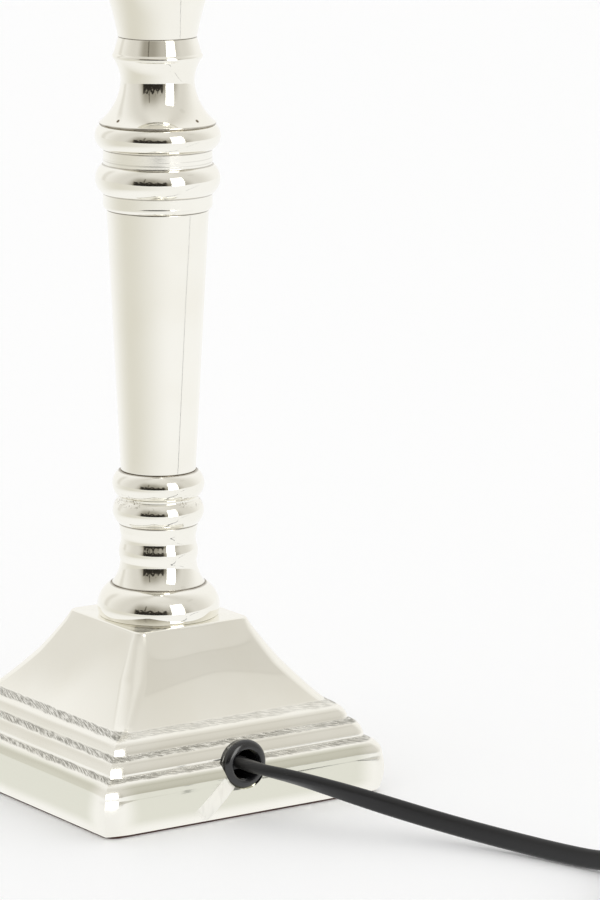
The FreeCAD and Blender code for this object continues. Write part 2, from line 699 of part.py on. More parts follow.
cap_out = S.cup_radius - S.cup_wall - S.cap_gap
cap_in = cap_out - S.cap_wall
ledge_up = cap_foot + S.cap_ledge_up
ledge_in = cap_in - S.cap_ledge
node(turned("holder_cap", [
    (S.rod_radius + S.thread_fit, cap_foot),
    (S.cup_flat - S.cap_gap, cap_foot),
    (S.cup_swell - S.cup_wall - S.cap_gap * 2, cup_foot + S.cup_swell_up + S.cap_gap * 2,
     cap_out, cup_foot + S.cup_straight_up),
    (cap_out, cup_end),
    (cap_in, cup_end),
    (cap_in, ledge_up),
    (ledge_in, ledge_up),
    (ledge_in, ledge_up - S.cap_ledge),
    (S.cup_flat, rod_top),
    (S.rod_radius + S.thread_fit, rod_top),
]), "holder_cap")

insert_end = ledge_up + S.insert_height
well_floor = insert_end - S.well_depth
node(cut("holder_insert", rod("insert_disc", S.insert_radius, S.insert_height, z=ledge_up),
         [rod("insert_well", S.contact_well, S.well_depth, z=well_floor)]),
     "holder_insert")
shell_out = S.shell_bore + S.shell_wall
node(cut("screw_shell", rod("shell_outside", shell_out, S.shell_height, z=insert_end),
         [rod("shell_inside", S.shell_bore, S.shell_height, z=insert_end)]),
     "screw_shell")

holder_foot = cup_end
holder_end = holder_foot + S.holder_height
sleeve_in = shell_out + S.skirt_gap
flange_end = holder_foot + S.flange_thick
shell_end = insert_end + S.shell_height
node(turned("holder_skirt", [
    (sleeve_in, holder_foot),
    (S.flange_radius, holder_foot),
    (S.flange_radius, flange_end),
    (S.holder_thread, flange_end),
    (S.holder_thread, holder_end - S.holder_edge),
    (S.holder_thread - S.holder_edge, holder_end),
    (S.shell_bore, holder_end),
    (S.shell_bore, shell_end + S.skirt_gap),
    (sleeve_in, shell_end + S.skirt_gap),
]), "holder_skirt")

ring_foot = flange_end + S.shade_ring_gap
shade_ring = new_body("shade_ring")
ring_profile = new_sketch(shade_ring, "shade_ring_profile", "XZ_Plane")
ring_in = S.holder_thread + S.thread_fit
ring_step = ring_foot + S.shade_ring_web
ring_wall = ring_in + S.shade_ring_web
outline(ring_profile, [
    (ring_in, ring_foot),
    (S.shade_ring_radius, ring_foot),
    (S.shade_ring_radius, ring_step),
    (ring_wall, ring_step),
    (ring_wall, ring_foot + S.shade_ring_height),
    (ring_in, ring_foot + S.shade_ring_height),
])
ring_turn = shade_ring.newObject("PartDesign::Revolution", "shade_ring_turn")
ring_turn.Profile = ring_profile
ring_turn.ReferenceAxis = (ring_profile, ["V_Axis"])
ring_turn.Angle = 360
notch = new_sketch(shade_ring, "shade_ring_notch", "XY_Plane", ring_foot)
notch_mid = notch.addGeometry(
    Part.Circle(Vector(S.shade_ring_radius.value, 0, 0), Vector(0, 0, 1),
                S.shade_ring_notch.value), False)
fix_point(notch, notch_mid, 3, S.shade_ring_radius, NOTHING)
notch_size = notch.addConstraint(
    Sketcher.Constraint("Radius", notch_mid, S.shade_ring_notch.value))
bind(notch, f"Constraints[{notch_size}]", S.shade_ring_notch)
notch_cut = shade_ring.newObject("PartDesign::Pocket", "shade_ring_notch_cut")
notch_cut.Profile = notch
notch_cut.Reversed = True
bind(notch_cut, "Length", S.shade_ring_web)
notches = shade_ring.newObject("PartDesign::PolarPattern", "shade_ring_notches")
notches.Originals = [notch_cut]
notches.Axis = (notch, ["N_Axis"])
notches.Angle = 360
bind(notches, "Occurrences", S.shade_ring_notches)
shade_ring.Tip = notches
node(shade_ring, "shade_ring")

tongue = box("centre_tongue", -S.contact_wide / 2, -S.terminal_place, well_floor,
             S.contact_wide, S.terminal_place, S.contact_thick)
button = rod("centre_button", S.contact_wide / 2, S.contact_tall, z=well_floor)
node(joined("centre_contact", [tongue, button]), "centre_contact")
node(box("side_contact", -S.contact_wide / 2, S.terminal_place, well_floor,
         S.contact_wide, S.contact_thick, S.contact_tall), "side_contact")
node(grouped("terminal_screws", [
    rod(f"terminal_screw_{number}", S.terminal_screw, S.terminal_screw_tall,
        x=S.terminal_place * side, z=ledge_up - S.terminal_screw_tall)
    for number, side in enumerate((-1, 1), start=1)
]), "terminal_screws")

# ---------------------------------------------------------------- inline switch

half_long = S.switch_long / 2
half_wide = S.switch_wide / 2
switch_at = {"x": S.switch_x, "y": S.switch_y}
slot_half = S.flex_thick / 2 + S.switch_slot
flex_half = S.flex_wide / 2


def switch_block(name, inset, low, high):
    """A rounded block about the middle of the switch."""
    corner = S.switch_end_round - inset
    steps = rounded_steps(half_wide - inset, half_long - inset, corner, S.switch_x,
                          S.switch_y)
    return slab(name, steps, low, high - low)


def flex_slot(name, low, high):
    """The slot through both ends of the switch for the flex."""
    return box(name, S.switch_x - slot_half, S.switch_y - half_long - S.switch_wall, low,
               slot_half * 2, S.switch_long + S.switch_wall * 2, high - low)


floor_in = S.switch_lift + S.switch_wall
roof_in = S.switch_tall - S.switch_wall
base_posts = []
cover_posts = []
screw_tools = []
screw_seats = []
switch_bolts = []
for number, side in enumerate((-1, 1), start=1):
    at = {"x": S.switch_x + S.switch_post_x * side, "y": S.switch_y + S.switch_post_y * side}
    base_posts.append(rod(f"base_post_{number}", S.switch_post, S.switch_split - floor_in,
                          z=floor_in, **at))
    cover_posts.append(rod(f"cover_post_{number}", S.switch_post, roof_in - S.switch_split,
                           z=S.switch_split, **at))
    screw_tools.append(rod(f"switch_hole_{number}", S.switch_screw + S.thread_fit,
                           roof_in - S.switch_lift, z=S.switch_lift, **at))
    screw_seats.append(rod(f"switch_seat_{number}", S.switch_screw_head + S.rod_fit,
                           S.switch_head_thick + S.switch_lift, z=S.switch_lift, **at))
    head_top = S.switch_lift * 2 + S.switch_head_thick
    head = rod(f"switch_head_{number}", S.switch_screw_head, S.switch_head_thick,
               z=head_top - S.switch_head_thick, **at)
    shank = rod(f"switch_shank_{number}", S.switch_screw,
                roof_in - S.switch_wall - head_top, z=head_top, **at)
    switch_bolts.append(joined(f"switch_screw_{number}", [head, shank]))

tray = cut("switch_tray", switch_block("switch_base_block", NOTHING, S.switch_lift,
                                       S.switch_split),
           [switch_block("switch_base_hollow", S.switch_wall, floor_in, S.switch_split)])
flex_floor = S.switch_split - flex_half - S.switch_slot
node(cut("switch_base", joined("switch_tray_posts", [tray] + base_posts),
         [flex_slot("switch_base_slot", flex_floor, S.switch_split)]
         + screw_tools + screw_seats), "switch_base")

rocker_half = S.rocker_wide / 2
mouth_half = rocker_half + S.rocker_gap
mouth_reach = S.rocker_reach + S.rocker_gap
rib_out = mouth_half + S.rocker_pin_long + S.rocker_gap
lid = cut("switch_lid", switch_block("switch_cover_block", NOTHING, S.switch_split,
                                     S.switch_tall),
          [switch_block("switch_cover_hollow", S.switch_wall, S.switch_split, roof_in)])
ribs = box("rocker_rib_block", S.switch_x - rib_out, S.switch_y - S.rocker_hub,
           S.rocker_pivot_up - S.rocker_hub, rib_out * 2, S.rocker_hub * 2,
           roof_in - S.rocker_pivot_up + S.rocker_hub)
mouth = box("rocker_mouth", S.switch_x - mouth_half, S.switch_y - mouth_reach,
            S.switch_split, mouth_half * 2, mouth_reach * 2, S.switch_tall)
pivot_hole = rod("rocker_pivot_hole", S.rocker_pin + S.rocker_fit,
                 (mouth_half + S.rocker_pin_long + S.rocker_fit) * 2,
                 x=S.switch_x - mouth_half - S.rocker_pin_long - S.rocker_fit,
                 y=S.switch_y, z=S.rocker_pivot_up, turn=ALONG_X)
cover_screw_tools = [
    rod(f"cover_hole_{number}", S.switch_screw + S.thread_fit,
        roof_in - S.switch_split, z=S.switch_split,
        x=S.switch_x + S.switch_post_x * side, y=S.switch_y + S.switch_post_y * side)
    for number, side in enumerate((-1, 1), start=1)
]
flex_roof = S.switch_split + flex_half + S.switch_slot
node(cut("switch_cover", joined("switch_lid_posts", [lid, ribs] + cover_posts),
         [flex_slot("switch_cover_slot", S.switch_split, flex_roof), mouth, pivot_hole]
         + cover_screw_tools), "switch_cover")
node(grouped("switch_screws", switch_bolts), "switch_screws")

# The rocker is drawn about its pivot, then laid in place with one end pressed.
skirt_reach = Size(math.sqrt(S.rocker_reach.value ** 2 - S.rocker_skirt.value ** 2),
                   f"sqrt({S.rocker_reach.text}^2 - {S.rocker_skirt.text}^2)")
crown_reach = Size(math.sqrt(S.rocker_reach.value ** 2 - S.rocker_crown.value ** 2),
                   f"sqrt({S.rocker_reach.text}^2 - {S.rocker_crown.text}^2)")
rocker_body = slab("rocker_body", [
    (-skirt_reach, -S.rocker_skirt),
    (-S.rocker_reach, NOTHING, -crown_reach, S.rocker_crown),
    (NOTHING, S.rocker_dip, crown_reach, S.rocker_crown),
    (S.rocker_reach, NOTHING, skirt_reach, -S.rocker_skirt),
], -rocker_half, S.rocker_wide, "YZ_Plane")
pin_out = rocker_half + S.rocker_gap + S.rocker_pin_long
rocker_pin = rod("rocker_pin", S.rocker_pin, pin_out * 2, x=-pin_out, turn=ALONG_X)
rocker_hub = rod("rocker_hub", S.rocker_hub, S.rocker_wide, x=-rocker_half, turn=ALONG_X)
rocker = joined("switch_rocker", [rocker_body, rocker_pin, rocker_hub])
rocker.Placement = Placement(Vector(), Rotation(Vector(1, 0, 0), S.rocker_tilt.value))
bind(rocker, "Placement.Rotation.Angle", S.rocker_tilt)
move(rocker, S.switch_x, S.switch_y, S.rocker_pivot_up)
node(rocker, "switch_rocker")

# ---------------------------------------------------------------- plug

plug_foot = S.plug_y + S.plug_neck_long
plug_end = plug_foot + S.plug_long
plug_half = S.plug_wide / 2
back_half = S.plug_back / 2
plug_low = S.plug_up - S.plug_thick / 2
plug_plan = slab("plug_plan", [
    (S.plug_x + back_half, plug_foot),
    (S.plug_x + plug_half, plug_foot + S.plug_shoulder),
    (S.plug_x + plug_half, plug_end),
    (S.plug_x - plug_half, plug_end),
    (S.plug_x - plug_half, plug_foot + S.plug_shoulder),
    (S.plug_x - back_half, plug_foot),
], plug_low, S.plug_thick)
plug_side = slab("plug_side", rounded_steps(
    plug_half, S.plug_thick / 2, S.plug_round, S.plug_x, S.plug_up),
    -plug_end, S.plug_long, "XZ_Plane")
plug_neck = rod("plug_neck", S.plug_neck, S.plug_neck_long + S.plug_round,
                x=S.plug_x, y=S.plug_y, z=S.plug_up, turn=ALONG_Y)
plug_block = doc.addObject("Part::Common", "plug_block")
plug_block.Base = plug_plan
plug_block.Tool = plug_side
node(joined("plug_body", [plug_block, plug_neck]), "plug_body")
node(grouped("plug_pins", [
    rod(f"plug_pin_{number}", S.plug_pin, S.plug_pin_long,
        x=S.plug_x + S.plug_pins_apart / 2 * side, y=plug_end, z=S.plug_up, turn=ALONG_Y)
    for number, side in enumerate((-1, 1), start=1)
]), "plug_pins")

doc.recompute()

# ---------------------------------------------------------------- flex

THICK = S.flex_thick.value
WIDE = S.flex_wide.value


def oval(middle, along, wide_way):
    """The flat flex's section, a slot outline, square to a direction."""
    along = Vector(along).normalize()
    wide_way = Vector(wide_way) - along * along.dot(wide_way)
    wide_way.normalize()
    side = along.cross(wide_way)
    reach = wide_way * (WIDE - THICK) / 2
    half = side * THICK / 2
    tip = wide_way * WIDE / 2
    corners = [middle + reach + half, middle + reach - half,
               middle - reach - half, middle - reach + half]
    return Part.Wire([
        Part.Arc(corners[0], middle + tip, corners[1]).toShape(),
        Part.LineSegment(corners[1], corners[2]).toShape(),
        Part.Arc(corners[2], middle - tip, corners[3]).toShape(),
        Part.LineSegment(corners[3], corners[0]).toShape(),
    ])


def swept(path, profile):
    """A solid with a section carried along a path."""
    pipe = Part.BRepOffsetAPI.MakePipeShell(path)
    pipe.add(profile)
    pipe.build()
    pipe.makeSolid()
    return pipe.shape()


def rounded_route(points, radius=None):
    """Straight runs between points joined by tangent arcs, and the arcs' radii."""
    edges = []
    radii = []
    here = points[0]
    for before, corner, after in zip(points, points[1:], points[2:]):
        back = before - corner
        ahead = after - corner
        turn = math.pi - back.getAngle(ahead)
        bend = radius or 0.45 * min(back.Length, ahead.Length) / math.tan(turn / 2)
        reach = bend * math.tan(turn / 2)
        start = corner + Vector(back).normalize() * reach
        end = corner + Vector(ahead).normalize() * reach
        inward = (Vector(back).normalize() + Vector(ahead).normalize()).normalize()
        middle = corner + inward * (bend / math.cos(turn / 2) - bend)
        edges.append(Part.LineSegment(here, start).toShape())
        edges.append(Part.Arc(start, middle, end).toShape())
        radii.append(bend)
        here = end
    edges.append(Part.LineSegment(here, points[-1]).toShape())
    return Part.Wire(edges), radii


def flex(name, points, wide_way=(0, 0, 1), radius=None):
    """A stretch of flex along a route, with its radii and volume told."""
    points = [Vector(*p) for p in points]
    path, radii = rounded_route(points, radius)
    shape = swept(path, oval(points[0], points[1] - points[0], Vector(*wide_way)))
    section = (WIDE - THICK) * THICK + math.pi * THICK ** 2 / 4
    print(f"{name}: length {path.Length:.1f}, radii {[round(r, 1) for r in radii]}, "
          f"volume {shape.Volume / (section * path.Length):.4f} of section times length")
    return node(solid(name, shape), name), path.Length


# inside the lamp: level through the clamp, one bend, then straight up the rod
outlet_x = S.outlet_side.value
outlet_y = S.outlet_face.value
outlet_z = S.outlet_up.value
flex("inner_cord", [
    (outlet_x, outlet_y, outlet_z),
    (0, 0, outlet_z),
    (0, 0, rod_top.value),
], (outlet_y, -outlet_x, 0), S.flex_bend.value)

# two insulated cores from the end of the sheath to the terminal screws
apart = S.core_apart.value
terminal_x = S.terminal_place.value - S.terminal_screw.value
core_end = ledge_up.value - S.terminal_screw_tall.value / 2
cores = []
for side in (-1, 1):
    route = [
        Vector(side * apart, 0, rod_top.value),
        Vector(side * apart, 0, (rod_top.value + core_end) / 2),
        Vector(side * (apart + terminal_x) / 2, 0, core_end),
        Vector(side * terminal_x, 0, core_end),
    ]
    path, _ = rounded_route(route)
    ring = Part.Wire(Part.Circle(route[0], Vector(0, 0, 1), S.core_radius.value).toShape())
    cores.append(swept(path, ring))
node(solid("core_leads", Part.makeCompound(cores)), "core_leads")

# outside: out of the grommet, down to the floor and along it to the switch
floor_up = WIDE / 2 + 0.05
switch_in = S.switch_y.value - S.switch_long.value / 2
split = S.switch_split.value
switch_x = S.switch_x.value
LEAD_ROUTE = [
    (outlet_x, outlet_y, outlet_z),
    (1.0, 55.5, 16.2),
    (-4.5, 66.0, 15.4),
    (-12.5, 78.0, 12.8),
    (-23.0, 91.5, 9.0),
    (-33.0, 106.5, 5.7),
    (-41.5, 123.5, 3.7),
    (-47.5, 141.0, floor_up),
    (-51.6, 155.5, 3.3),
    (-53.6, 166.0, 5.9),
    (switch_x, switch_in, split),
    (switch_x, switch_in + S.switch_clamp.value, split),
]
_, lead_long = flex("cord_lead", LEAD_ROUTE)

# from the switch to the coil
coil_x = S.coil_x.value
coil_y = S.coil_y.value
coil_low = S.coil_low.value
coil_start = coil_y - S.coil_lead.value
switch_out = S.switch_y.value + S.switch_long.value / 2
entry_x = coil_x - S.coil_radius.value
LINK_ROUTE = [
    (switch_x, switch_out - S.switch_clamp.value, split),
    (switch_x, switch_out + 1.0, split),
    (entry_x, switch_out + S.link_bend.value, coil_low + S.link_sag.value),
    (entry_x, coil_start - S.link_level.value, coil_low),
    (entry_x, coil_start, coil_low),
]
_, link_long = flex("cord_link", LINK_ROUTE)


def half_turns(start, radius, step, count, side):
    """Half circles, each wider or narrower than the one before by a step.

    The side is -1 for a start at the left, from where the first one goes round the
    back, and 1 for a start at the right. Every half turn ends on the other side.
    """
    edges = []
    here = start
    for number in range(count):
        wide = radius + step * number
        across = Vector(-side * wide, 0, 0)
        crest = here + across + Vector(0, -side * wide, 0)
        there = here + across * 2
        edges.append(Part.Arc(here, crest, there).toShape())
        here = there
        side = -side
    return edges, here


def climb(start, end):
    """A half turn round the front that rises from one layer to the next."""
    reach = (end - start).Length / 2
    crest = (start + end) / 2 + Vector(0, -reach, 0)
    slant = Vector(end - start).normalize() * reach * math.sqrt(0.5)
    middle = (start + end) / 2 + Vector(0, -reach * math.sqrt(0.5), 0)
    return [Part.Arc(start, middle - slant, crest).toShape(),
            Part.Arc(crest, middle + slant, end).toShape()]


def stations(edges, wide_way, spacing):
    """Points along the path with the section's wide way, as the sweep carries it."""
    found = []
    travelled = 0
    for edge in edges:
        steps = max(2, round(edge.Length / spacing))
        first, last = edge.FirstParameter, edge.LastParameter
        straight = isinstance(edge.Curve, Part.Line)
        for number in range(steps):
            at = first + (last - first) * number / steps
            turned_way = wide_way
            if not straight:
                spin = Rotation(edge.Curve.Axis, math.degrees(at - first))
                turned_way = spin.multVec(wide_way)
            along = travelled + edge.Length * number / steps
            found.append((along, edge.valueAt(at), turned_way))
        if not straight:
            wide_way = Rotation(edge.Curve.Axis, math.degrees(last - first)).multVec(wide_way)
        travelled += edge.Length
    return found


def least_gap(edges, wide_way, spacing=2.5, apart=40.0):
    """The least gap between parts of the flat flex that are well apart along it."""
    marks = stations(edges, Vector(wide_way).normalize(), spacing)
    reach = (WIDE - THICK) / 2
    shares = [-1, -0.5, 0, 0.5, 1]
    least = math.inf
    for number, (along, here, way) in enumerate(marks):
        for far_along, there, far_way in marks[number + 1:]:
            if far_along - along < apart or here.distanceToPoint(there) > WIDE * 2:
                continue
            for share in shares:
                near = here + way * reach * share
                for other in shares:
                    gap = near.distanceToPoint(there + far_way * reach * other) - THICK
                    least = min(least, gap)
    return least


# the put-away flex: in on the floor, up in the innermost half turn, and out on top
pitch = S.coil_pitch.value
rise = S.coil_layer.value
halves = int(round(S.coil_turns.value * 2))
coil_foot = Vector(entry_x, coil_start, coil_low)
coil_first = Vector(entry_x, coil_y, coil_low)
inward, inner_end = half_turns(coil_first, S.coil_radius.value, -pitch / 2, halves - 1, -1)
inner_radius = S.coil_radius.value - pitch / 2 * (halves - 1)
climbed = inner_end + Vector(-inner_radius * 2, 0, rise)
outward, outer_end = half_turns(climbed, inner_radius + pitch / 2, pitch / 2, halves - 1,
                                -1)
coil_last = outer_end + Vector(0, -S.coil_lead.value, 0)
coil_edges = ([Part.LineSegment(coil_foot, coil_first).toShape()] + inward
              + climb(inner_end, climbed) + outward
              + [Part.LineSegment(outer_end, coil_last).toShape()])
lean = Vector(-rise, 0, inner_radius * 2)
coil_path = Part.Wire(coil_edges)
coil_shape = swept(coil_path, oval(coil_foot, (0, 1, 0), lean))
node(solid("cord_coil", coil_shape), "cord_coil")
coil_long = coil_path.Length
oval_area = (WIDE - THICK) * THICK + math.pi * THICK ** 2 / 4
print(f"cord_coil: length {coil_long:.1f}, inner radius {inner_radius:.1f}, volume "
      f"{coil_shape.Volume / (oval_area * coil_long):.4f} of section times length, "
      f"least gap to itself {least_gap(coil_edges, lean):.2f}")

# from the coil's right side round its front, rising, to the plug that lies on the coil
plug_start = Vector(S.plug_x.value, S.plug_y.value, S.plug_up.value)
TAIL_ROUTE = [
    tuple(coil_last),
    (22.5, 254.0, 12.0),
    (15.0, 241.0, 15.0),
    (2.0, 233.5, 17.8),
    (-12.0, 232.0, 19.8),
    (-24.5, 237.3, 20.9),
    tuple(plug_start - Vector(0, S.coil_lead.value, 0)),
    tuple(plug_start),
]
_, tail_long = flex("cord_tail", TAIL_ROUTE)
print(f"flex outside the lamp: {lead_long + link_long + coil_long + tail_long:.0f} "
      f"and {switch_out - switch_in:.0f} in the switch")

# a strap round the coil's turns, at the back of the coil
strap_in = S.tie_gap.value
back_turn = coil_y + S.coil_radius.value + THICK / 2 + strap_in
front_turn = coil_y + inner_radius + pitch / 2 - THICK / 2 - S.tie_slack.value
strap_low = coil_low - WIDE / 2 - strap_in
strap_high = coil_low + rise + WIDE / 2 + strap_in
strap_wide = S.tie_wide.value
strap = S.tie_thick.value
strap_x = coil_x + pitch / 2 - strap_wide / 2
strap_hole = Part.makeBox(strap_wide, back_turn - front_turn, strap_high - strap_low,
                          Vector(strap_x, front_turn, strap_low))
strap_block = Part.makeBox(strap_wide, back_turn - front_turn + strap * 2,
                           strap_high - strap_low + strap * 2,
                           Vector(strap_x, front_turn - strap, strap_low - strap))
node(solid("cord_tie", strap_block.cut(strap_hole)), "cord_tie")

doc.recompute()

# ---------------------------------------------------------------- checks and files

for thing in doc.Objects:
    if "Invalid" in thing.State or "Error" in thing.State:
        raise SystemExit(f"{thing.Label}: {thing.State}")
for thing in SUBPARTS:
    if thing.Shape.isNull() or not thing.Shape.isValid():
        raise SystemExit(f"{thing.Label} has no valid shape")
    thing.Shape.exportStep(f"parts/{thing.Label}.step")
    room = thing.Shape.optimalBoundingBox()
    print(f"{thing.Label}: {len(thing.Shape.Solids)} solid, x {room.XMin:.1f} to "
          f"{room.XMax:.1f}, y {room.YMin:.1f} to {room.YMax:.1f}, z {room.ZMin:.2f} to "
          f"{room.ZMax:.2f}, volume {thing.Shape.Volume:.0f}")
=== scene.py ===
import math

import bpy
import numpy as np
from mathutils import Matrix, Vector


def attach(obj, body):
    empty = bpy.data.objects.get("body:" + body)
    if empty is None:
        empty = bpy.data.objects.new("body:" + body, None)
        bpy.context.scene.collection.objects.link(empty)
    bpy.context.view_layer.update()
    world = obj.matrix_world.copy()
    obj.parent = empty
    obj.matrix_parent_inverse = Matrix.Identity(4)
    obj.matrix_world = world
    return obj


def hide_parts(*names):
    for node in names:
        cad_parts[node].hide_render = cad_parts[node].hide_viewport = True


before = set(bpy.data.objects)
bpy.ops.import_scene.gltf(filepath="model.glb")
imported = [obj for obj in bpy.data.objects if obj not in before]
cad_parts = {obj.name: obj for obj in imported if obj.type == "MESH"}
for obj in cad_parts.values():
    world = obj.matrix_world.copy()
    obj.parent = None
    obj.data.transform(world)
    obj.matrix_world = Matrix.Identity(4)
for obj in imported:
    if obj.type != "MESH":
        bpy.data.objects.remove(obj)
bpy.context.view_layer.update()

MM = 0.001
TAU = 2 * math.pi


# ---------------- camera

CAMERA_OUT = 1.413          # level distance from the column's axis
CAMERA_UP = 0.390           # above the table
CAMERA_ROUND = 57.2         # degrees from +X towards +Y
CAMERA_PAN = 1.75           # degrees to the right of the axis
CAMERA_DOWN = 11.45
CAMERA_ROLL = 0.24
FOCAL_PIXELS = 4734.0       # for a picture 600 wide
PICTURE_WIDE = 600.0
SENSOR = 36.0


def place_camera():
    """The camera stands on a circle round the column, turned, tipped and rolled."""
    data = bpy.data.cameras.new("camera")
    data.sensor_fit = "HORIZONTAL"
    data.sensor_width = SENSOR
    data.lens = SENSOR * FOCAL_PIXELS / PICTURE_WIDE
    data.clip_start = 0.01
    data.clip_end = 50.0
    camera = bpy.data.objects.new("camera", data)
    bpy.context.scene.collection.objects.link(camera)
    round_by = math.radians(CAMERA_ROUND)
    heading = round_by + math.pi - math.radians(CAMERA_PAN)
    down = math.radians(CAMERA_DOWN)
    ahead = Vector((math.cos(heading) * math.cos(down),
                    math.sin(heading) * math.cos(down), -math.sin(down)))
    right = Vector((math.sin(heading), -math.cos(heading), 0.0))
    up = right.cross(ahead)
    roll = math.radians(CAMERA_ROLL)
    right, up = (right * math.cos(roll) + up * math.sin(roll),
                 up * math.cos(roll) - right * math.sin(roll))
    turn = Matrix((right, up, -ahead)).transposed().to_4x4()
    place = Matrix.Translation((CAMERA_OUT * math.cos(round_by),
                                CAMERA_OUT * math.sin(round_by), CAMERA_UP))
    camera.matrix_world = place @ turn
    bpy.context.scene.camera = camera


place_camera()


# ---------------- meshes

def add_object(name, mesh, material, crease=None):
    """Link a mesh as a piece at the origin, smooth but for edges keener than a crease."""
    mesh.materials.append(material)
    mesh.shade_smooth()
    if crease is not None:
        mesh.set_sharp_from_angle(angle=math.radians(crease))
    piece = bpy.data.objects.new(name, mesh)
    bpy.context.scene.collection.objects.link(piece)
    return piece


def grid_mesh(name, points, ends=False):
    """A mesh of four-sided faces over a grid of points, rows by columns.

    The columns close on themselves, and so do the rows, unless the first and the last
    row are ends with one flat face each. The faces are turned over where they would
    point inwards: the signed volume, a sum of triple products over the faces, tells.
    """
    rows, columns = points.shape[:2]
    index = np.arange(rows * columns).reshape(rows, columns)
    if not ends:
        index = np.vstack([index, index[:1]])
    index = np.hstack([index, index[:, :1]])
    quads = np.stack([index[:-1, :-1], index[:-1, 1:], index[1:, 1:], index[1:, :-1]],
                     axis=-1).reshape(-1, 4)
    flat = points.reshape(-1, 3)
    a, b, c, d = (flat[quads[:, k]] for k in range(4))
    inward = (np.einsum("ij,ij->", a, np.cross(b, c))
              + np.einsum("ij,ij->", a, np.cross(c, d))) < 0
    faces = (quads[:, ::-1] if inward else quads).tolist()
    if ends:
        first, last = index[0, :columns].tolist(), index[-1, :columns].tolist()
        faces += [first, last[::-1]] if inward else [first[::-1], last]
    mesh = bpy.data.meshes.new(name)
    mesh.from_pydata(flat.tolist(), [], faces)
    mesh.update()
    return mesh


def add_piece(name, points, material, crease=None, ends=False):
    """Link a grid of points as a piece."""
    return add_object(name, grid_mesh(name, points, ends), material, crease)


def travelled(line):
    """The length run up to each point of a line."""
    return np.concatenate([[0], np.cumsum(np.linalg.norm(np.diff(line, axis=0), axis=1))])


def angles(count):
    """Evenly spaced angles of a full turn."""
    return np.linspace(0, TAU, count, endpoint=False)


def arc_through(a, via, b, spacing):
    """Points on the circle through three flat points, evenly spaced from a to b."""
    a, via, b = (np.asarray(p, float) for p in (a, via, b))
    sides = np.array([via - a, b - a])
    squares = 0.5 * (sides ** 2).sum(axis=1)
    if abs(np.linalg.det(sides)) < 1e-12:
        return np.array([a, b])
    middle = a + np.linalg.solve(sides, squares)
    start, mid, end = (math.atan2(*(p - middle)[::-1]) for p in (a, via, b))
    sweep = (end - start) % TAU
    if (mid - start) % TAU > sweep:
        sweep -= TAU
    radius = np.linalg.norm(a - middle)
    count = max(5, int(abs(sweep) * radius / spacing))
    angle = start + sweep * np.linspace(0, 1, count + 1)
    return middle + radius * np.stack([np.cos(angle), np.sin(angle)], axis=1)


STRAIGHT_STEP = 5           # times further apart than an arc's rows
TRIM_SHARE = 0.3            # of a run, the most that an eased corner may take
FLAT_ROW, FLAT_SHARE = 0.22, 0.2    # an extra row this close to each end of a run


def outline(steps, ease=0.25, spacing=0.8):
    """A closed outline in millimetres with arcs and with its corners eased.

    A step (x, y) is a straight run to a point and (via x, via y, x, y) an arc. Each
    corner is a short curve that starts and ends along its runs. A row close to each end
    of a run keeps the run's shading flat.
    """
    runs = []
    for before, step in zip([steps[-1]] + steps[:-1], steps):
        start, end = np.array(before[-2:], float), np.array(step[-2:], float)
        if len(step) == 4:
            runs.append(arc_through(start, step[:2], end, spacing))
        else:
            long = np.linalg.norm(end - start)
            count = max(1, int(long / (spacing * STRAIGHT_STEP)))
            runs.append(start + (end - start) * np.linspace(0, 1, count + 1)[:, None])
    ways = [travelled(run) for run in runs]

    def at(number, marks):
        """Places on a run, by the way along it."""
        return np.stack([np.interp(marks, ways[number], runs[number][:, k])
                         for k in (0, 1)], axis=-1)

    rows = []
    blend = np.linspace(0, 1, 5)[1:-1, None]
    for number, along in enumerate(ways):
        following = (number + 1) % len(runs)
        trim = [min(ease, TRIM_SHARE * along[-1], TRIM_SHARE * ways[other][-1])
                for other in (number - 1, following)]
        first, last = trim[0], along[-1] - trim[1]
        near = min(FLAT_ROW, FLAT_SHARE * (last - first))
        inner = along[(along > first + near * 2) & (along < last - near * 2)]
        marks = np.concatenate([[first, first + near], inner, [last - near, last]])
        kept = at(number, marks)
        here, corner, there = kept[-1], runs[number][-1], at(following, trim[1])
        bend = (here * (1 - blend) ** 2 + corner * 2 * blend * (1 - blend)
                + there * blend ** 2)
        rows += [kept, bend]
    return np.concatenate(rows)


def turned_points(rows, around):
    """Every outline point carried round Z: (r cos a, r sin a, z)."""
    angle = angles(around)
    radius, height = rows[:, :1] * MM, rows[:, 1:] * MM
    return np.stack([radius * np.cos(angle), radius * np.sin(angle),
                     np.broadcast_to(height, (len(rows), around))], axis=-1)


KEEN_DROP = 0.175           # a keen corner's way in from +Y, as a share of its reach


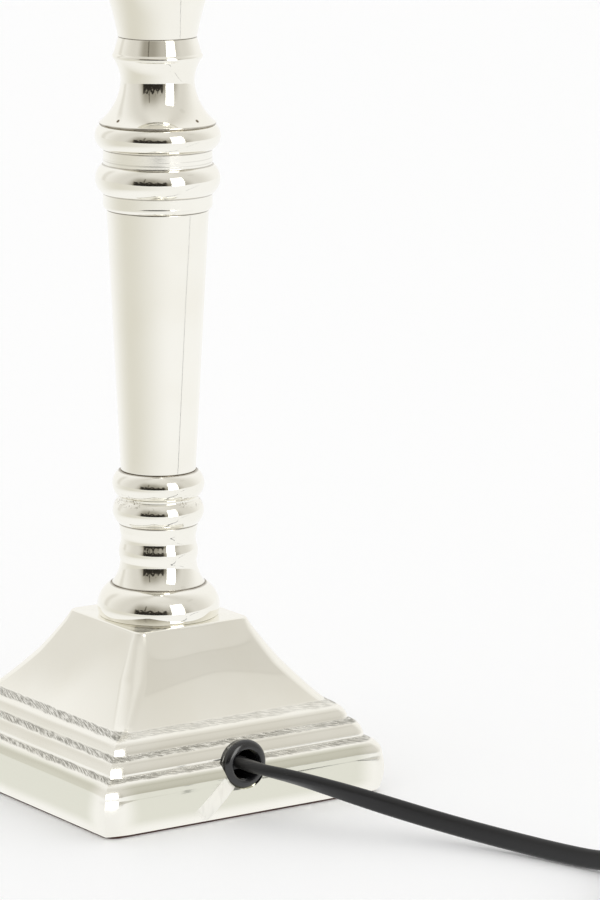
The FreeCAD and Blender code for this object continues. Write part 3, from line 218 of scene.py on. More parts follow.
def block_points(rows, corners, extra=0.0, side_steps=16, arc_steps=14, keen=None):
    """Every outline point carried round a rectangle with rounded corners.

    The first number of a row is the half width along X and the half length along Y is
    longer by the extra. A side runs to its half less the corner, closer together
    towards its ends, then the corner's quarter circle follows. Where the keen reach of
    a row is above 0, its +X +Y corner keeps an edge at its end on +X and curves to its
    other end as a parabola: the way in from +Y is the drop times (1 - share) squared.
    """
    half = rows[:, :1] * MM
    deep = half + extra * MM
    bend = np.minimum(np.asarray(corners, float)[:, None] * MM, half)
    quarter = np.linspace(0, math.pi / 2, side_steps, endpoint=False)
    there, back = np.sin(quarter), np.cos(quarter)
    angle = np.linspace(0, math.pi / 2, arc_steps, endpoint=False)
    cos, sin = bend * np.cos(angle), bend * np.sin(angle)
    one = np.ones(side_steps)
    flat_x, flat_y = half - bend, deep - bend
    first = (bend, flat_x + cos, flat_y + sin, bend)
    if keen is not None:
        share = np.linspace(0, 1, arc_steps, endpoint=False)
        reach = np.minimum(np.asarray(keen, float)[:, None] * MM, half)
        drop = reach * KEEN_DROP
        edged = (drop, half - reach * share, deep - drop * (1 - share) ** 2, reach)
        first = [np.where(reach > 0, sharp, soft) for sharp, soft in zip(edged, first)]
    x = [half * one, first[1], (half - first[3]) * back, -flat_x * there, -flat_x - sin,
         -half * one, -half * one, -flat_x - cos, -flat_x * back, flat_x * there,
         flat_x + sin, half * one]
    y = [(deep - first[0]) * there, first[2], deep * one, deep * one, flat_y + cos,
         flat_y * back, -flat_y * there, -flat_y - sin, -deep * one, -deep * one,
         -flat_y - cos, -flat_y * back]
    x, y = np.concatenate(x, axis=1), np.concatenate(y, axis=1)
    return np.stack([x, y, np.broadcast_to(rows[:, 1:] * MM, x.shape)], axis=-1)


def laid_along_y(points):
    """Points drawn about Z laid about Y, by swapping coordinates round."""
    return points[..., [1, 2, 0]]


def moved(points, middle):
    """Points moved to a middle given in millimetres."""
    return points + np.array(middle) * MM


def carve(piece, cutters, crease):
    """Cut closed meshes out of a piece, and mark the edges that the cuts leave."""
    for number, cutter in enumerate(cutters):
        tool = bpy.data.objects.new(f"{piece.name}_cutter_{number}", cutter)
        bpy.context.scene.collection.objects.link(tool)
        carving = piece.modifiers.new(f"cut_{number}", "BOOLEAN")
        carving.operation = "DIFFERENCE"
        carving.solver = "EXACT"
        carving.object = tool
    whole = bpy.context.evaluated_depsgraph_get()
    mesh = bpy.data.meshes.new_from_object(piece.evaluated_get(whole))
    for carving in list(piece.modifiers):
        bpy.data.objects.remove(carving.object)
        piece.modifiers.remove(carving)
    piece.data = mesh
    mesh.shade_smooth()
    mesh.set_sharp_from_angle(angle=math.radians(crease))
    return piece


def fitted(piece, slot, *nodes, body="lamp", shines=True):
    """Say what a piece rides on and which nodes it stands for; slot, what it is made of, is
    not used.
    """
    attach(piece, body)
    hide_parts(*nodes)
    piece.visible_glossy = shines
    return piece


# ---------------- shader nodes

class Value:
    """A shader socket that takes + - * and abs() as Math nodes."""

    def __init__(self, paint, socket):
        self.paint = paint
        self.socket = socket

    def maths(self, operation, *others):
        """A Math node with this value as its first number."""
        return self.paint.node("ShaderNodeMath", {"operation": operation},
                               dict(enumerate((self, *others))))

    def __add__(self, other):
        return self.maths("ADD", other)

    def __sub__(self, other):
        return self.maths("SUBTRACT", other)

    def __rsub__(self, other):
        return self.paint.node("ShaderNodeMath", {"operation": "SUBTRACT"},
                               {0: other, 1: self})

    def __mul__(self, other):
        return self.maths("MULTIPLY", other)

    def __abs__(self):
        return self.maths("ABSOLUTE")

    __radd__ = __add__
    __rmul__ = __mul__

    def between(self, low, high):
        """0 below low, 1 above high and a smooth rise between."""
        return self.paint.node("ShaderNodeMapRange", {"interpolation_type": "SMOOTHSTEP"},
                               {0: self, 1: low, 2: high, 3: 0.0, 4: 1.0})

    def near(self, middle, reach):
        """1 at the middle, falling to 0 at a reach to each side."""
        return 1 - abs(self - middle).between(0.0, reach)


class Nodes:
    """A node tree being written, with the helpers that every tree uses."""

    def __init__(self, tree):
        self.tree = tree

    def node(self, kind, settings=None, values=None, out=0):
        """One node: its settings first, then the values or links of its sockets."""
        node = self.tree.nodes.new(kind)
        for name, setting in (settings or {}).items():
            if name == "stops":
                ramp = node.color_ramp
                while len(ramp.elements) < len(setting):
                    ramp.elements.new(0.5)
                for element, (place, shade) in zip(ramp.elements, setting):
                    element.position = place
                    element.color = (*shade, 1.0)
            else:
                setattr(node, name, setting)
        for name, value in (values or {}).items():
            if isinstance(value, Value):
                self.tree.links.new(value.socket, node.inputs[name])
            else:
                node.inputs[name].default_value = value
        return Value(self, node.outputs[out])

    def parts(self, vector):
        """A vector's three numbers."""
        split = self.tree.nodes.new("ShaderNodeSeparateXYZ")
        self.tree.links.new(vector.socket, split.inputs[0])
        return [Value(self, split.outputs[k]) for k in range(3)]

    def vector(self, x, y, z):
        """A vector from three numbers."""
        return self.node("ShaderNodeCombineXYZ", {}, {0: x, 1: y, 2: z})

    def mixed(self, share, first, second):
        """A colour between two, by a share from 0 to 1."""
        return self.node("ShaderNodeMix", {"data_type": "RGBA"},
                         {0: share, 6: first, 7: second}, out=2)


class Paint(Nodes):
    """A material being written: its nodes, its surface shader and its helpers."""

    def __init__(self, name, **constants):
        self.material = bpy.data.materials.new(name)
        self.material.use_nodes = True
        super().__init__(self.material.node_tree)
        self.tree.nodes.clear()
        self.surface = self.tree.nodes.new("ShaderNodeBsdfPrincipled")
        self.output = self.tree.nodes.new("ShaderNodeOutputMaterial")
        self.tree.links.new(self.surface.outputs[0], self.output.inputs["Surface"])
        self.set(**constants)

    def set(self, **sockets):
        """Give the surface shader's sockets, named with _ for a space, values or links."""
        for name, value in sockets.items():
            socket = self.surface.inputs[name.replace("_", " ")]
            if isinstance(value, Value):
                self.tree.links.new(value.socket, socket)
            else:
                socket.default_value = value

    def place(self):
        """Object coordinates."""
        return self.node("ShaderNodeTexCoord", out="Object")

    def axes(self):
        """Object coordinates as three values in millimetres."""
        return [part * 1000.0 for part in self.parts(self.place())]

    def noise(self, scale, detail=2.0, roughness=0.5, stretch=(1, 1, 1), turn=(0, 0, 0),
              vector=None):
        """Noise from 0 to 1 whose grain is 1 / scale metres, drawn out along an axis."""
        where = self.node("ShaderNodeMapping", {},
                          {"Vector": vector or self.place(), "Scale": stretch,
                           "Rotation": turn})
        return self.node("ShaderNodeTexNoise", {},
                         {"Vector": where, "Scale": scale, "Detail": detail,
                          "Roughness": roughness})

    def bump(self, height, distance, strength=1.0, normal=None):
        """The surface's normal over a height, in metres of relief."""
        values = {"Height": height, "Distance": distance, "Strength": strength}
        if normal is not None:
            values["Normal"] = normal
        return self.node("ShaderNodeBump", {}, values)


def colour(red, green, blue):
    """A colour socket's value."""
    return (red, green, blue, 1.0)


# ---------------- finishes

NICKEL = (0.93, 0.915, 0.855)
# The colour of a painted shade on the plate, standing in for a dimmer reflection.
PAINTED_SHADE_PLATE = (0.74, 0.735, 0.64)
SOIL = (0.20, 0.16, 0.11)
GREY_DIRT = (0.25, 0.24, 0.21)
PALER = (0.975, 0.97, 0.955)        # the plate's faint clouds against its colour
# Dirt in the column's joints: height, reach, strength.
JOINTS = [(62.8, 0.42, 0.9), (81.4, 0.5, 0.5), (97.9, 0.4, 0.8), (178.0, 0.35, 0.9),
          (182.9, 0.35, 0.7), (191.8, 0.35, 0.5), (196.3, 0.4, 0.8), (204.0, 0.45, 0.9),
          (230.1, 0.3, 0.7)]
PITS = [(9.6, 205.9), (104.8, 205.9)]       # degrees from +X, height
PIT_RADIUS = 16.0           # from the column's axis


def polished(paint, soil, relief=None, dirt=SOIL, dull=0.0, thin=0.0):
    """The plate's colour, sheen and faint waves, darker and duller where it is soiled.

    The share called thin paints the colour a shade darker: a painted shade that stands in
    for a dimmer reflection.
    """
    cloud = paint.noise(38.0, 3.0)
    wave = paint.noise(30.0, 1.0, stretch=(1, 1, 0.6))
    paler = (share * part for share, part in zip(PALER, NICKEL))
    warm = paint.mixed(cloud.between(0.35, 0.7), colour(*NICKEL), colour(*paler))
    # Painted shade: the colour mixed towards a darker plate by the share called thin.
    warm = paint.mixed(thin, warm, colour(*PAINTED_SHADE_PLATE))
    waves = paint.bump(wave, 0.0012, 0.25)
    paint.set(Metallic=1.0, Base_Color=paint.mixed(soil, warm, colour(*dirt)),
              Roughness=0.045 + 0.03 * cloud + 0.45 * soil + dull,
              Normal=waves if relief is None else paint.bump(relief, 0.0001, 1.0, waves))


def column_nickel():
    """Polished plate on the turned column: dirt in the joints, pits and lathe lines."""
    paint = Paint("polished_nickel_column")
    x, y, z = paint.axes()
    ragged = paint.noise(260.0, 3.0)
    soil = 0.0
    for height, reach, strength in JOINTS:
        soil = z.near(height, reach) * strength * (0.55 + 0.7 * ragged) + soil
    speck = paint.noise(1500.0, 1.0).between(0.56, 0.63)
    patch = paint.noise(120.0, 1.0).between(0.36, 0.52)
    soil = soil + speck * patch * z.near(89.6, 2.6) * 0.9
    lathe = paint.noise(500.0, 1.0, stretch=(0.05, 0.05, 4.0))
    band = (z - 191.8).between(0.2, 0.6) * (196.3 - z).between(0.2, 0.6)
    lower = (194.6 - z).between(0.0, 0.5)
    soil = soil + lathe.between(0.58, 0.64) * band * lower * 0.16
    for azimuth, height in PITS:
        turn = math.radians(azimuth)
        pit = (PIT_RADIUS * math.cos(turn), PIT_RADIUS * math.sin(turn), height)
        offset = paint.node("ShaderNodeVectorMath", {"operation": "DISTANCE"},
                            {0: paint.vector(x, y, z), 1: pit}, out="Value")
        soil = soil + (1 - offset.between(0.35, 0.75))
    fine = paint.noise(420.0, 2.0, stretch=(0.08, 0.08, 3.0))
    polished(paint, soil.maths("MINIMUM", 1.0), fine * 0.012)
    return paint.material


TREADS = [(16.4, 17.6), (21.7, 23.0), (26.8, 28.4)]     # matt from and to, heights
SCAR_TOP, SCAR_FOOT = (8.2, 10.8), (17.5, 2.6)          # x, z on the +Y face


def base_nickel():
    """Polished plate on the casting, with three matt hatched treads, a ground scar and a
    painted shade on the foot's faces.
    """
    paint = Paint("polished_nickel_base")
    x, y, z = paint.axes()
    ragged = (paint.noise(210.0, 3.0) - 0.5) * 1.6
    tread = 0.0
    for low, high in TREADS:
        inside = ((z + ragged * 0.5 - low).between(-0.15, 0.25)
                  * (high - z + ragged * 0.5).between(-0.15, 0.25))
        tread = inside + tread
    beside = abs(x) - abs(y)
    side = beside.between(-0.02, 0.02)
    worn = paint.noise(34.0, 2.0).between(0.42, 0.62)
    ends = (abs(x) - 14.0).between(0.0, 22.0)
    tread = tread * (0.2 + 0.8 * worn.maths("MAXIMUM", side.maths("MAXIMUM", ends)))
    tread = tread * (1 - 0.5 * (1 - side) * (z - 25.0).between(0.0, 1.0))
    run = x * (1 - side) - y * side
    lift = z * 1.9
    strokes = paint.noise(1.0, 2.0, vector=paint.vector(
        (run * 0.94 + lift * 0.34) * 0.26, (lift * 0.94 - run * 0.34) * 3.2, side * 5.0))
    strokes = strokes.between(0.38, 0.62)
    long = math.dist(SCAR_TOP, SCAR_FOOT)
    along_x, along_z = ((foot - top) / long for top, foot in zip(SCAR_TOP, SCAR_FOOT))
    from_x, from_z = x - SCAR_TOP[0], z - SCAR_TOP[1]
    reach = from_x * along_x + from_z * along_z
    aside = from_z * along_x - from_x * along_z
    width = 2.5 + reach * 0.04
    scar = ((y - 40.0).between(0.0, 2.0) * (reach + 2.0).between(0.0, 1.5)
            * (long - reach).between(-1.0, 1.6)
            * (width - abs(aside)).between(-0.1, 0.35))
    brush = paint.noise(900.0, 2.0, stretch=(1, 1, 0.12), turn=(0, math.radians(48), 0))
    soil = tread * (0.2 + 0.62 * strokes) + scar * 0.1 * brush.between(0.5, 0.7)
    relief = tread * strokes * 0.7 + scar * brush * 0.2
    corner = (abs(x) + abs(y) - 89.0).between(0.0, 8.0)
    # Painted shade: the foot's faces, but not their corners or the scar, darkened for the
    # dimmer reflection there.
    foot = (z - 2.0).between(0.0, 3.5) * (16.4 - z).between(0.0, 1.0) * (1 - corner)
    worn_edge = 1 - abs(beside).between(1.5, 7.0)
    polished(paint, soil, relief, GREY_DIRT, scar * 0.34 + worn_edge * 0.16,
             foot * (1 - scar) * 0.95)
    return paint.material


def plain(name, base, roughness, metallic=0.0, grain=420.0, relief=0.00002, **more):
    """A simple finish with a fine grain in its colour, sheen and surface."""
    paint = Paint(name, Metallic=metallic, **more)
    mottle = paint.noise(grain, 3.0)
    darker = tuple(c * 0.8 for c in base)
    paint.set(Base_Color=paint.mixed(mottle, colour(*darker), colour(*base)),
              Roughness=roughness * 0.85 + roughness * 0.3 * mottle,
              Normal=paint.bump(mottle, relief, 0.4))
    return paint.material


nickel = column_nickel()
base_plate = base_nickel()
steel = plain("zinc_steel", (0.62, 0.63, 0.63), 0.32, 1.0)
iron = plain("iron", (0.12, 0.12, 0.12), 0.8, 0.6, 300.0, 0.0003)
felt = plain("felt", (0.085, 0.035, 0.028), 0.95, 0.0, 1500.0, 0.0002)
rubber = plain("black_rubber", (0.010, 0.010, 0.011), 0.16, 0.0, 700.0, 0.00001,
               Specular_IOR_Level=0.7)
sheath = plain("black_flex", (0.013, 0.013, 0.014), 0.42, 0.0, 500.0, 0.00003,
               Specular_IOR_Level=0.4)
moulding = plain("black_moulding", (0.02, 0.02, 0.02), 0.3, 0.0, 350.0, 0.00002)
brass = plain("contact_brass", (0.78, 0.6, 0.32), 0.25, 1.0)
pin_metal = plain("pin_nickel", (0.8, 0.79, 0.76), 0.2, 1.0)
insulation = plain("core_insulation", (0.05, 0.12, 0.35), 0.45)


# ---------------- flex

FLEX_WIDE = 5.9 * MM
FLEX_THICK = 3.5 * MM
OUTLET_X, OUTLET_UP = 1.3, 16.3
EXIT = (OUTLET_X, 47.4, OUTLET_UP)
FLOOR_UP = 3.0              # the flex's middle where it lies on its edge
SWITCH = (-54.0, 206.0, 6.5)
SWITCH_IN, SWITCH_OUT = 176.0, 236.0        # y where the flex enters and leaves it
COIL_MIDDLE = (-17.5, 272.0)
COIL_RADIUS, COIL_STEP, COIL_TURNS = 37.0, 4.0, 8
COIL_LOW, COIL_RISE, COIL_LEAD = 3.9, 6.5, 6.0
PLUG = (-30.0, 252.0, 21.3)


def coil_points(per_half=8):
    """The put-away turns as half circles, each from one side to the other.

    Their radius falls by half a step a half turn, the innermost one climbs a layer, and
    then the radius grows again. Points stand out by the part that a smooth curve of
    this order cuts off, 1 / cos of half their spacing.
    """
    spread = 1 / math.cos(math.pi / per_half / 2)
    halves = [COIL_RADIUS - COIL_STEP / 2 * k for k in range(COIL_TURNS - 1)]
    inner = halves[-1] - COIL_STEP / 2
    halves += [inner] + [inner + COIL_STEP / 2 * (k + 1) for k in range(COIL_TURNS - 1)]
    here = np.array([COIL_MIDDLE[0] - COIL_RADIUS, COIL_MIDDLE[1], COIL_LOW])
    side = -1
    points = []
    share = (np.arange(per_half) + 0.5) / per_half
    for number, radius in enumerate(halves):
        climbs = number == COIL_TURNS - 1
        rise = COIL_RISE * share if climbs else np.zeros(per_half)
        centre = here + np.array([-side * radius, 0, 0])
        turn = math.pi * share
        points.append(np.stack([
            centre[0] + side * radius * spread * np.cos(turn),
            centre[1] - side * radius * spread * np.sin(turn),
            here[2] + rise], axis=1))
        here = centre + np.array([-side * radius, 0, COIL_RISE if climbs else 0])
        side = -side
    return np.concatenate(points), here


def flex_route():
    """Points of the whole flex: out of the base, along the table, coil and plug."""
    turns, last = coil_points()
    first_x = COIL_MIDDLE[0] - COIL_RADIUS
    lead = [
        EXIT, (1.0, 55.5, 16.2), (-4.5, 66.0, 15.4), (-12.5, 78.0, 12.8),
        (-23.0, 91.5, 9.0), (-33.0, 106.5, 5.7), (-41.5, 123.5, 3.7),
        (-47.5, 141.0, FLOOR_UP), (-51.6, 155.5, 3.3), (-53.6, 166.0, 5.9),
        (SWITCH[0], SWITCH_IN, SWITCH[2]), (SWITCH[0], SWITCH_IN + 6.8, SWITCH[2]),
        (SWITCH[0], SWITCH_OUT - 6.8, SWITCH[2]), (SWITCH[0], SWITCH_OUT + 1, SWITCH[2]),
        (first_x, SWITCH_OUT + 14, COIL_LOW + 0.6), (first_x, 258.0, COIL_LOW),
        (first_x, COIL_MIDDLE[1] - COIL_LEAD, COIL_LOW),
    ]
    tail = [
        (last[0], last[1] - COIL_LEAD, last[2]), (22.5, 254.0, 12.0), (15.0, 241.0, 15.0),
        (2.0, 233.5, 17.8), (-12.0, 232.0, 19.8), (-24.5, 237.3, 20.9),
        (PLUG[0], PLUG[1] - COIL_LEAD, PLUG[2]), PLUG,
    ]
    return np.concatenate([np.array(lead, float), turns, np.array(tail, float)]) * MM


def smooth_line(name, points, resolution):
    """Points along the smooth curve that a route controls."""
    data = bpy.data.curves.new(name, "CURVE")
    data.dimensions = "3D"
    spline = data.splines.new("NURBS")
    spline.points.add(len(points) - 1)
    spline.points.foreach_set("co", np.hstack([points, np.ones((len(points), 1))]).ravel())
    spline.order_u = 3
    spline.use_endpoint_u = True
    spline.resolution_u = resolution
    holder = bpy.data.objects.new(name, data)
    bpy.context.scene.collection.objects.link(holder)
    mesh = bpy.data.meshes.new_from_object(holder)
    line = np.empty(len(mesh.vertices) * 3)
    mesh.vertices.foreach_get("co", line)
    bpy.data.objects.remove(holder)
    bpy.data.curves.remove(data)
    bpy.data.meshes.remove(mesh)
    return line.reshape(-1, 3)


SECTION_POINTS = 20
LEAN_FROM, LEAN_OVER = 0.004, 0.055     # metres along, where the wide way turns
LEAN_START, LEAN_MORE = 18, 72          # degrees from lying


def flex_section(scale):
    """The flat flex's section: two half circles, one at each end of a slot."""
    turn = angles(SECTION_POINTS) + TAU / SECTION_POINTS / 2
    flat = (FLEX_WIDE - FLEX_THICK) / 2
    across = FLEX_THICK / 2 * np.cos(turn) + flat * np.sign(np.cos(turn))
    through = FLEX_THICK / 2 * np.sin(turn)
    return across * scale, through * scale


def flex_tube(line, scale=1.0):
    """The section carried along a line, its wide way turning from lying to standing.

    The side is level and square to the line, the stand is square to both, and the wide
    way lies at an angle between them that grows over the first part of the line.
    """
    ahead = np.gradient(line, axis=0)
    ahead /= np.linalg.norm(ahead, axis=1)[:, None]
    side = np.cross(ahead, [0, 0, 1.0])
    side /= np.linalg.norm(side, axis=1)[:, None]
    stand = np.cross(side, ahead)
    share = np.clip((travelled(line) - LEAN_FROM) / LEAN_OVER, 0, 1)
    lean = np.radians(LEAN_START + LEAN_MORE * share * share * (3 - 2 * share))[:, None]
    wide = side * np.cos(lean) + stand * np.sin(lean)
    thin = -side * np.sin(lean) + stand * np.cos(lean)
    across, through = flex_section(scale)
    return (line[:, None, :] + wide[:, None, :] * across[None, :, None]
            + thin[:, None, :] * through[None, :, None])


flex_line = smooth_line("flex_line", flex_route(), 6)
flex = add_piece("flex", flex_tube(flex_line), sheath, 50, ends=True)
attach(flex, "lamp")
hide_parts("cord_lead", "cord_link", "cord_coil", "cord_tail")


# ---------------- stepped base

BASE_STEPS = [
    (45.3, 0.8), (49.9, 0.8), (51.0, 6.4, 50.5, 12.0), (49.6, 15.0, 47.9, 16.5),
    (46.3, 17.3), (45.9, 19.6, 44.5, 21.8), (42.7, 22.8), (42.1, 25.0, 40.1, 26.9),
    (38.1, 28.2), (29.6, 38.5, 20.0, 53.0),
    (5.3, 53.0), (5.3, 48.0), (17.0, 48.0), (33.0, 28.2), (43.5, 15.0), (45.3, 8.8),
]
# The casting's corner radius at each height; the first three have a keen reach too.
CORNER_HEIGHTS = [0.8, 16.5, 27.0, 29.5, 40.0, 50.0, 53.0]
CORNER_RADII = [4.4, 4.0, 3.6, 5.0, 6.0, 4.0, 2.6]
KEEN_REACHES = [9.0, 5.0, 4.2]
KEEN_TOP = 27.5
INSIDE_TOP, INSIDE_CORNER = 48.1, 3.0
DECK_CORE = 19.0            # nearer the axis than this the deck's rows are round
ROOF_FOOT, ROOF_RISE = 28.2, 24.8
DISH, WANDER, LEAN = 0.44, 0.072, 0.28      # how far faces sink in
GROMMET_SEAT = (OUTLET_X, 46.4, OUTLET_UP)
SEAT_RADIUS, HOLE_RADIUS = 7.4, 5.5
HOLE_BACK = 12.0            # the hole starts this far in from the seat


def peg(name, radius, start, length):
    """A round peg along Y, to cut with."""
    rows = np.array([[0.01, 0.0], [radius, 0.0], [radius, length], [0.01, length]])
    points = laid_along_y(turned_points(rows, 64))
    return grid_mesh(name, moved(points, start), ends=True)


def base_casting():
    """The square base, from its foot over the steps and the roof to the rod's hole.

    Each roof face is dished a little, most in its upper half, the foot's faces lean in
    between their corners, and the whole surface wanders by parts of a millimetre, as
    hand grinding leaves it.
    """
    rows = outline(BASE_STEPS, ease=0.5, spacing=0.7)
    half, height = rows.T
    corners = np.interp(height, CORNER_HEIGHTS, CORNER_RADII)
    corners = np.where(half < DECK_CORE, half, corners)
    inside = (height < INSIDE_TOP) & (np.arange(len(rows)) > np.argmax(height))
    corners = np.where(inside, np.minimum(INSIDE_CORNER, half), corners)
    keen = np.interp(height, CORNER_HEIGHTS[:3], KEEN_REACHES)
    keen = np.where(inside | (height > KEEN_TOP), 0.0, keen)
    points = block_points(rows, corners, keen=keen)
    x, y, z = (points[..., k] / MM for k in range(3))
    wide = np.maximum(np.maximum(np.abs(x), np.abs(y)), 1.0)
    level = (z - ROOF_FOOT) / ROOF_RISE
    beside = np.minimum(np.abs(x), np.abs(y)) / wide
    dish = (np.clip(level * (1 - level) * 4, 0, 1) ** 1.2
            * np.clip(1 - (beside / 0.86) ** 2, 0, 1) ** 1.5)
    wander = (np.sin(x * 0.083 + 1.3) * np.sin(z * 0.17 + x * 0.03)
              + np.sin(y * 0.097 + 0.4) * np.sin(z * 0.13 - y * 0.05 + 2.0))
    outer = (~inside[:, None]) & (z > 1.5) & (z < 52.5)
    lean = np.interp(z, [2.0, 10.0, 16.4], [0.0, LEAN, 0.0])
    flat = np.clip((0.93 - beside) / 0.16, 0, 1)
    sink = (DISH * dish + WANDER * wander + lean * flat) * outer * MM
    along = np.abs(x) >= np.abs(y)
    points[..., 0] -= np.where(along, np.sign(x), 0) * sink
    points[..., 1] -= np.where(along, 0, np.sign(y)) * sink
    piece = add_piece("base", points, base_plate)
    x, y, z = GROMMET_SEAT
    return carve(piece, [peg("seat", SEAT_RADIUS, GROMMET_SEAT, 8.0),
                         peg("hole", HOLE_RADIUS, (x, y - HOLE_BACK, z), 14.0)], 32)


def felt_pad():
    """The felt under the base: a thin square with soft edges."""
    rows = outline([(0.5, 0.0), (48.6, 0.0), (48.8, 0.4, 48.6, 0.8), (0.5, 0.8)], 0.1)
    corners = np.where(rows[:, 0] < 5.0, rows[:, 0], 4.0)
    return add_piece("felt", block_points(rows, corners), felt)


def grommet():
    """The rubber ring in the outlet: a rounded lip, a bore and a sleeve."""
    rows = outline([
        (4.3, 36.8), (6.2, 36.8), (6.2, 38.4), (5.45, 38.4), (5.45, 46.4), (7.0, 46.4),
        (7.3, 48.2), (7.1, 50.1, 5.9, 50.8), (4.95, 50.7, 4.55, 50.0), (4.3, 49.6),
    ], ease=0.2, spacing=0.35)
    points = moved(laid_along_y(turned_points(rows, 120)), (OUTLET_X, 0.0, OUTLET_UP))
    return add_piece("grommet", points, rubber)


fitted(base_casting(), "polished_nickel", "base_casting")
fitted(felt_pad(), "felt", "felt_pad")
fitted(grommet(), "black_rubber", "cord_grommet", shines=False)


# ---------------- column

BORE = 5.25
AROUND = 168
# Each member's outside from its foot up. The bore closes it.
COLUMN = {
    "foot_ring": [(18.3, 53.0), (18.75, 56.3, 14.4, 62.8)],
    "pedestal": [
        (14.3, 62.8), (12.35, 66.4, 11.7, 70.0), (12.1, 72.3, 11.7, 74.9),
        (11.4, 76.8, 11.8, 78.9), (12.1, 81.4),
    ],
    "lower_knop": [
        (12.1, 81.4), (13.95, 85.3, 12.3, 89.2), (12.3, 89.9), (14.1, 93.9, 11.9, 97.9),
    ],
    "column_shaft": [(11.45, 97.9), (15.45, 178.0)],
    "upper_collar": [
        (15.6, 178.0), (16.27, 178.6, 16.55, 179.9), (16.55, 182.9), (16.7, 182.9),
        (18.9, 187.4, 16.7, 191.8), (16.5, 191.8), (16.5, 196.3), (16.7, 196.3),
        (19.0, 200.5, 17.2, 203.8),
    ],
    "neck_cove": [
        (17.6, 203.8), (17.6, 204.4), (13.0, 210.0, 11.1, 217.0),
        (11.6, 220.0, 13.2, 223.4), (13.65, 224.3, 13.2, 225.2), (11.8, 230.1),
    ],
    "candle_vase": [
        (11.9, 230.1), (14.4, 240.6, 18.6, 252.0), (21.3, 259.6, 21.9, 266.1),
        (22.9, 267.1), (22.9, 270.1),
    ],
    "drip_pan": [
        (22.0, 270.1), (26.6, 271.7, 30.0, 275.7), (30.8, 276.5), (30.0, 277.3),
        (29.0, 276.5), (26.1, 272.7, 22.0, 271.1),
    ],
    "holder_cup": [
        (13.0, 271.1), (20.2, 275.5, 22.5, 284.1), (22.5, 297.1), (21.6, 297.1),
        (21.6, 284.1), (19.5, 276.2, 13.0, 272.0),
    ],
}


for node, steps in COLUMN.items():
    bored = [(BORE, steps[0][-1]), *steps, (BORE, steps[-1][-1])]
    skin = add_piece(node + "_skin", turned_points(outline(bored), AROUND), nickel)
    fitted(skin, "polished_nickel", node)


# ---------------- lampholder

# The skirt's thread is cut into its outside, and the shell's waves both its faces.
SKIRT_THREAD, SKIRT_PITCH, SKIRT_DEPTH = 19.9, 2.4, 0.65
SKIRT_FROM, SKIRT_TO = 301.0, 328.4
SHELL_OUTSIDE, SHELL_INSIDE, SHELL_PITCH, SHELL_SWELL = 13.9, 13.55, 3.6, 0.22
SHELL_FROM, SHELL_TO, SHELL_FADE = 298.0, 320.5, 2.0
ROW_STEP = 0.3              # between the rows of a thread
RING_AROUND, SCALLOPS, RIBS = 288, 18, 36
SCALLOP_DEEP, RIB_DEEP = 1.0, 0.25


def pushed_out(points, way):
    """Points moved away from Z, each by its own way."""
    radius = np.linalg.norm(points[..., :2], axis=-1)
    points[..., :2] *= (1 + way / radius)[..., None]
    return points


def holder_skirt():
    """The lampholder's outer moulding: a flange, and a thread up to its rounded mouth.

    The radius falls by the depth times (half of 1 + cos(turns)) to the power 0.7, where
    the turns are the height over the pitch less the angle. The thread fades out over
    one pitch at its ends.
    """
    rows = outline([
        (14.2, 297.1), (23.1, 297.1), (23.4, 297.9), (23.4, 299.6), (22.9, 300.1),
        (SKIRT_THREAD, 300.1), (SKIRT_THREAD, 328.9), (19.6, 329.8, 18.7, 330.1),
        (15.2, 330.1), (13.8, 329.8, 13.5, 328.6), (13.5, 321.3), (14.2, 321.3),
    ], ease=0.2, spacing=0.4)
    on_wall = ((np.abs(rows[:, 0] - SKIRT_THREAD) < 0.01)
               & (rows[:, 1] > 300.3) & (rows[:, 1] < 328.7))
    first, last = np.flatnonzero(on_wall)[[0, -1]]
    extra = np.arange(SKIRT_FROM + 2 * ROW_STEP, 328.2, ROW_STEP)
    wall = np.sort(np.concatenate([rows[first:last + 1, 1], extra]))
    wall = np.stack([np.full(len(wall), SKIRT_THREAD), wall], axis=1)
    rows = np.vstack([rows[:first], wall, rows[last + 1:]])
    points = turned_points(rows, 144)
    level = points[..., 2] / MM
    fade = (np.clip((level - SKIRT_FROM) / SKIRT_PITCH, 0, 1)
            * np.clip((SKIRT_TO - level) / SKIRT_PITCH, 0, 1))
    turns = TAU * level / SKIRT_PITCH - angles(144)
    cut = SKIRT_DEPTH * (0.5 + 0.5 * np.cos(turns)) ** 0.7 * fade
    outside = rows[:, :1] > 0.5 * (rows[:, 0].max() + rows[:, 0].min())
    points = pushed_out(points, -cut * outside * MM)
    return add_piece("skirt", points, moulding, 40)


def shade_ring():
    """The ring that holds a shade down: a scalloped flange under a short collar."""
    rows = outline([
        (19.95, 300.4), (27.4, 300.4), (28.0, 300.9), (28.0, 302.1), (27.5, 302.6),
        (22.3, 302.6), (22.15, 303.0), (22.15, 305.9), (21.7, 306.4), (20.2, 306.4),
        (19.95, 306.1),
    ], ease=0.25, spacing=0.5)
    points = turned_points(rows, RING_AROUND)
    angle = angles(RING_AROUND)
    radius = np.linalg.norm(points[..., :2], axis=-1) / MM
    rim = np.clip((radius - 24.0) / 3.0, 0, 1)
    scallop = SCALLOP_DEEP * np.clip(np.cos(SCALLOPS * angle), 0, 1) ** 2 * rim
    collar = np.clip((points[..., 2] / MM - 302.8) / 0.4, 0, 1) * (radius > 21.0)
    rib = RIB_DEEP * (0.5 + 0.5 * np.cos(RIBS * angle)) * collar
    points = pushed_out(points, -(scallop + rib) * MM)
    return add_piece("ring", points, moulding, 40)


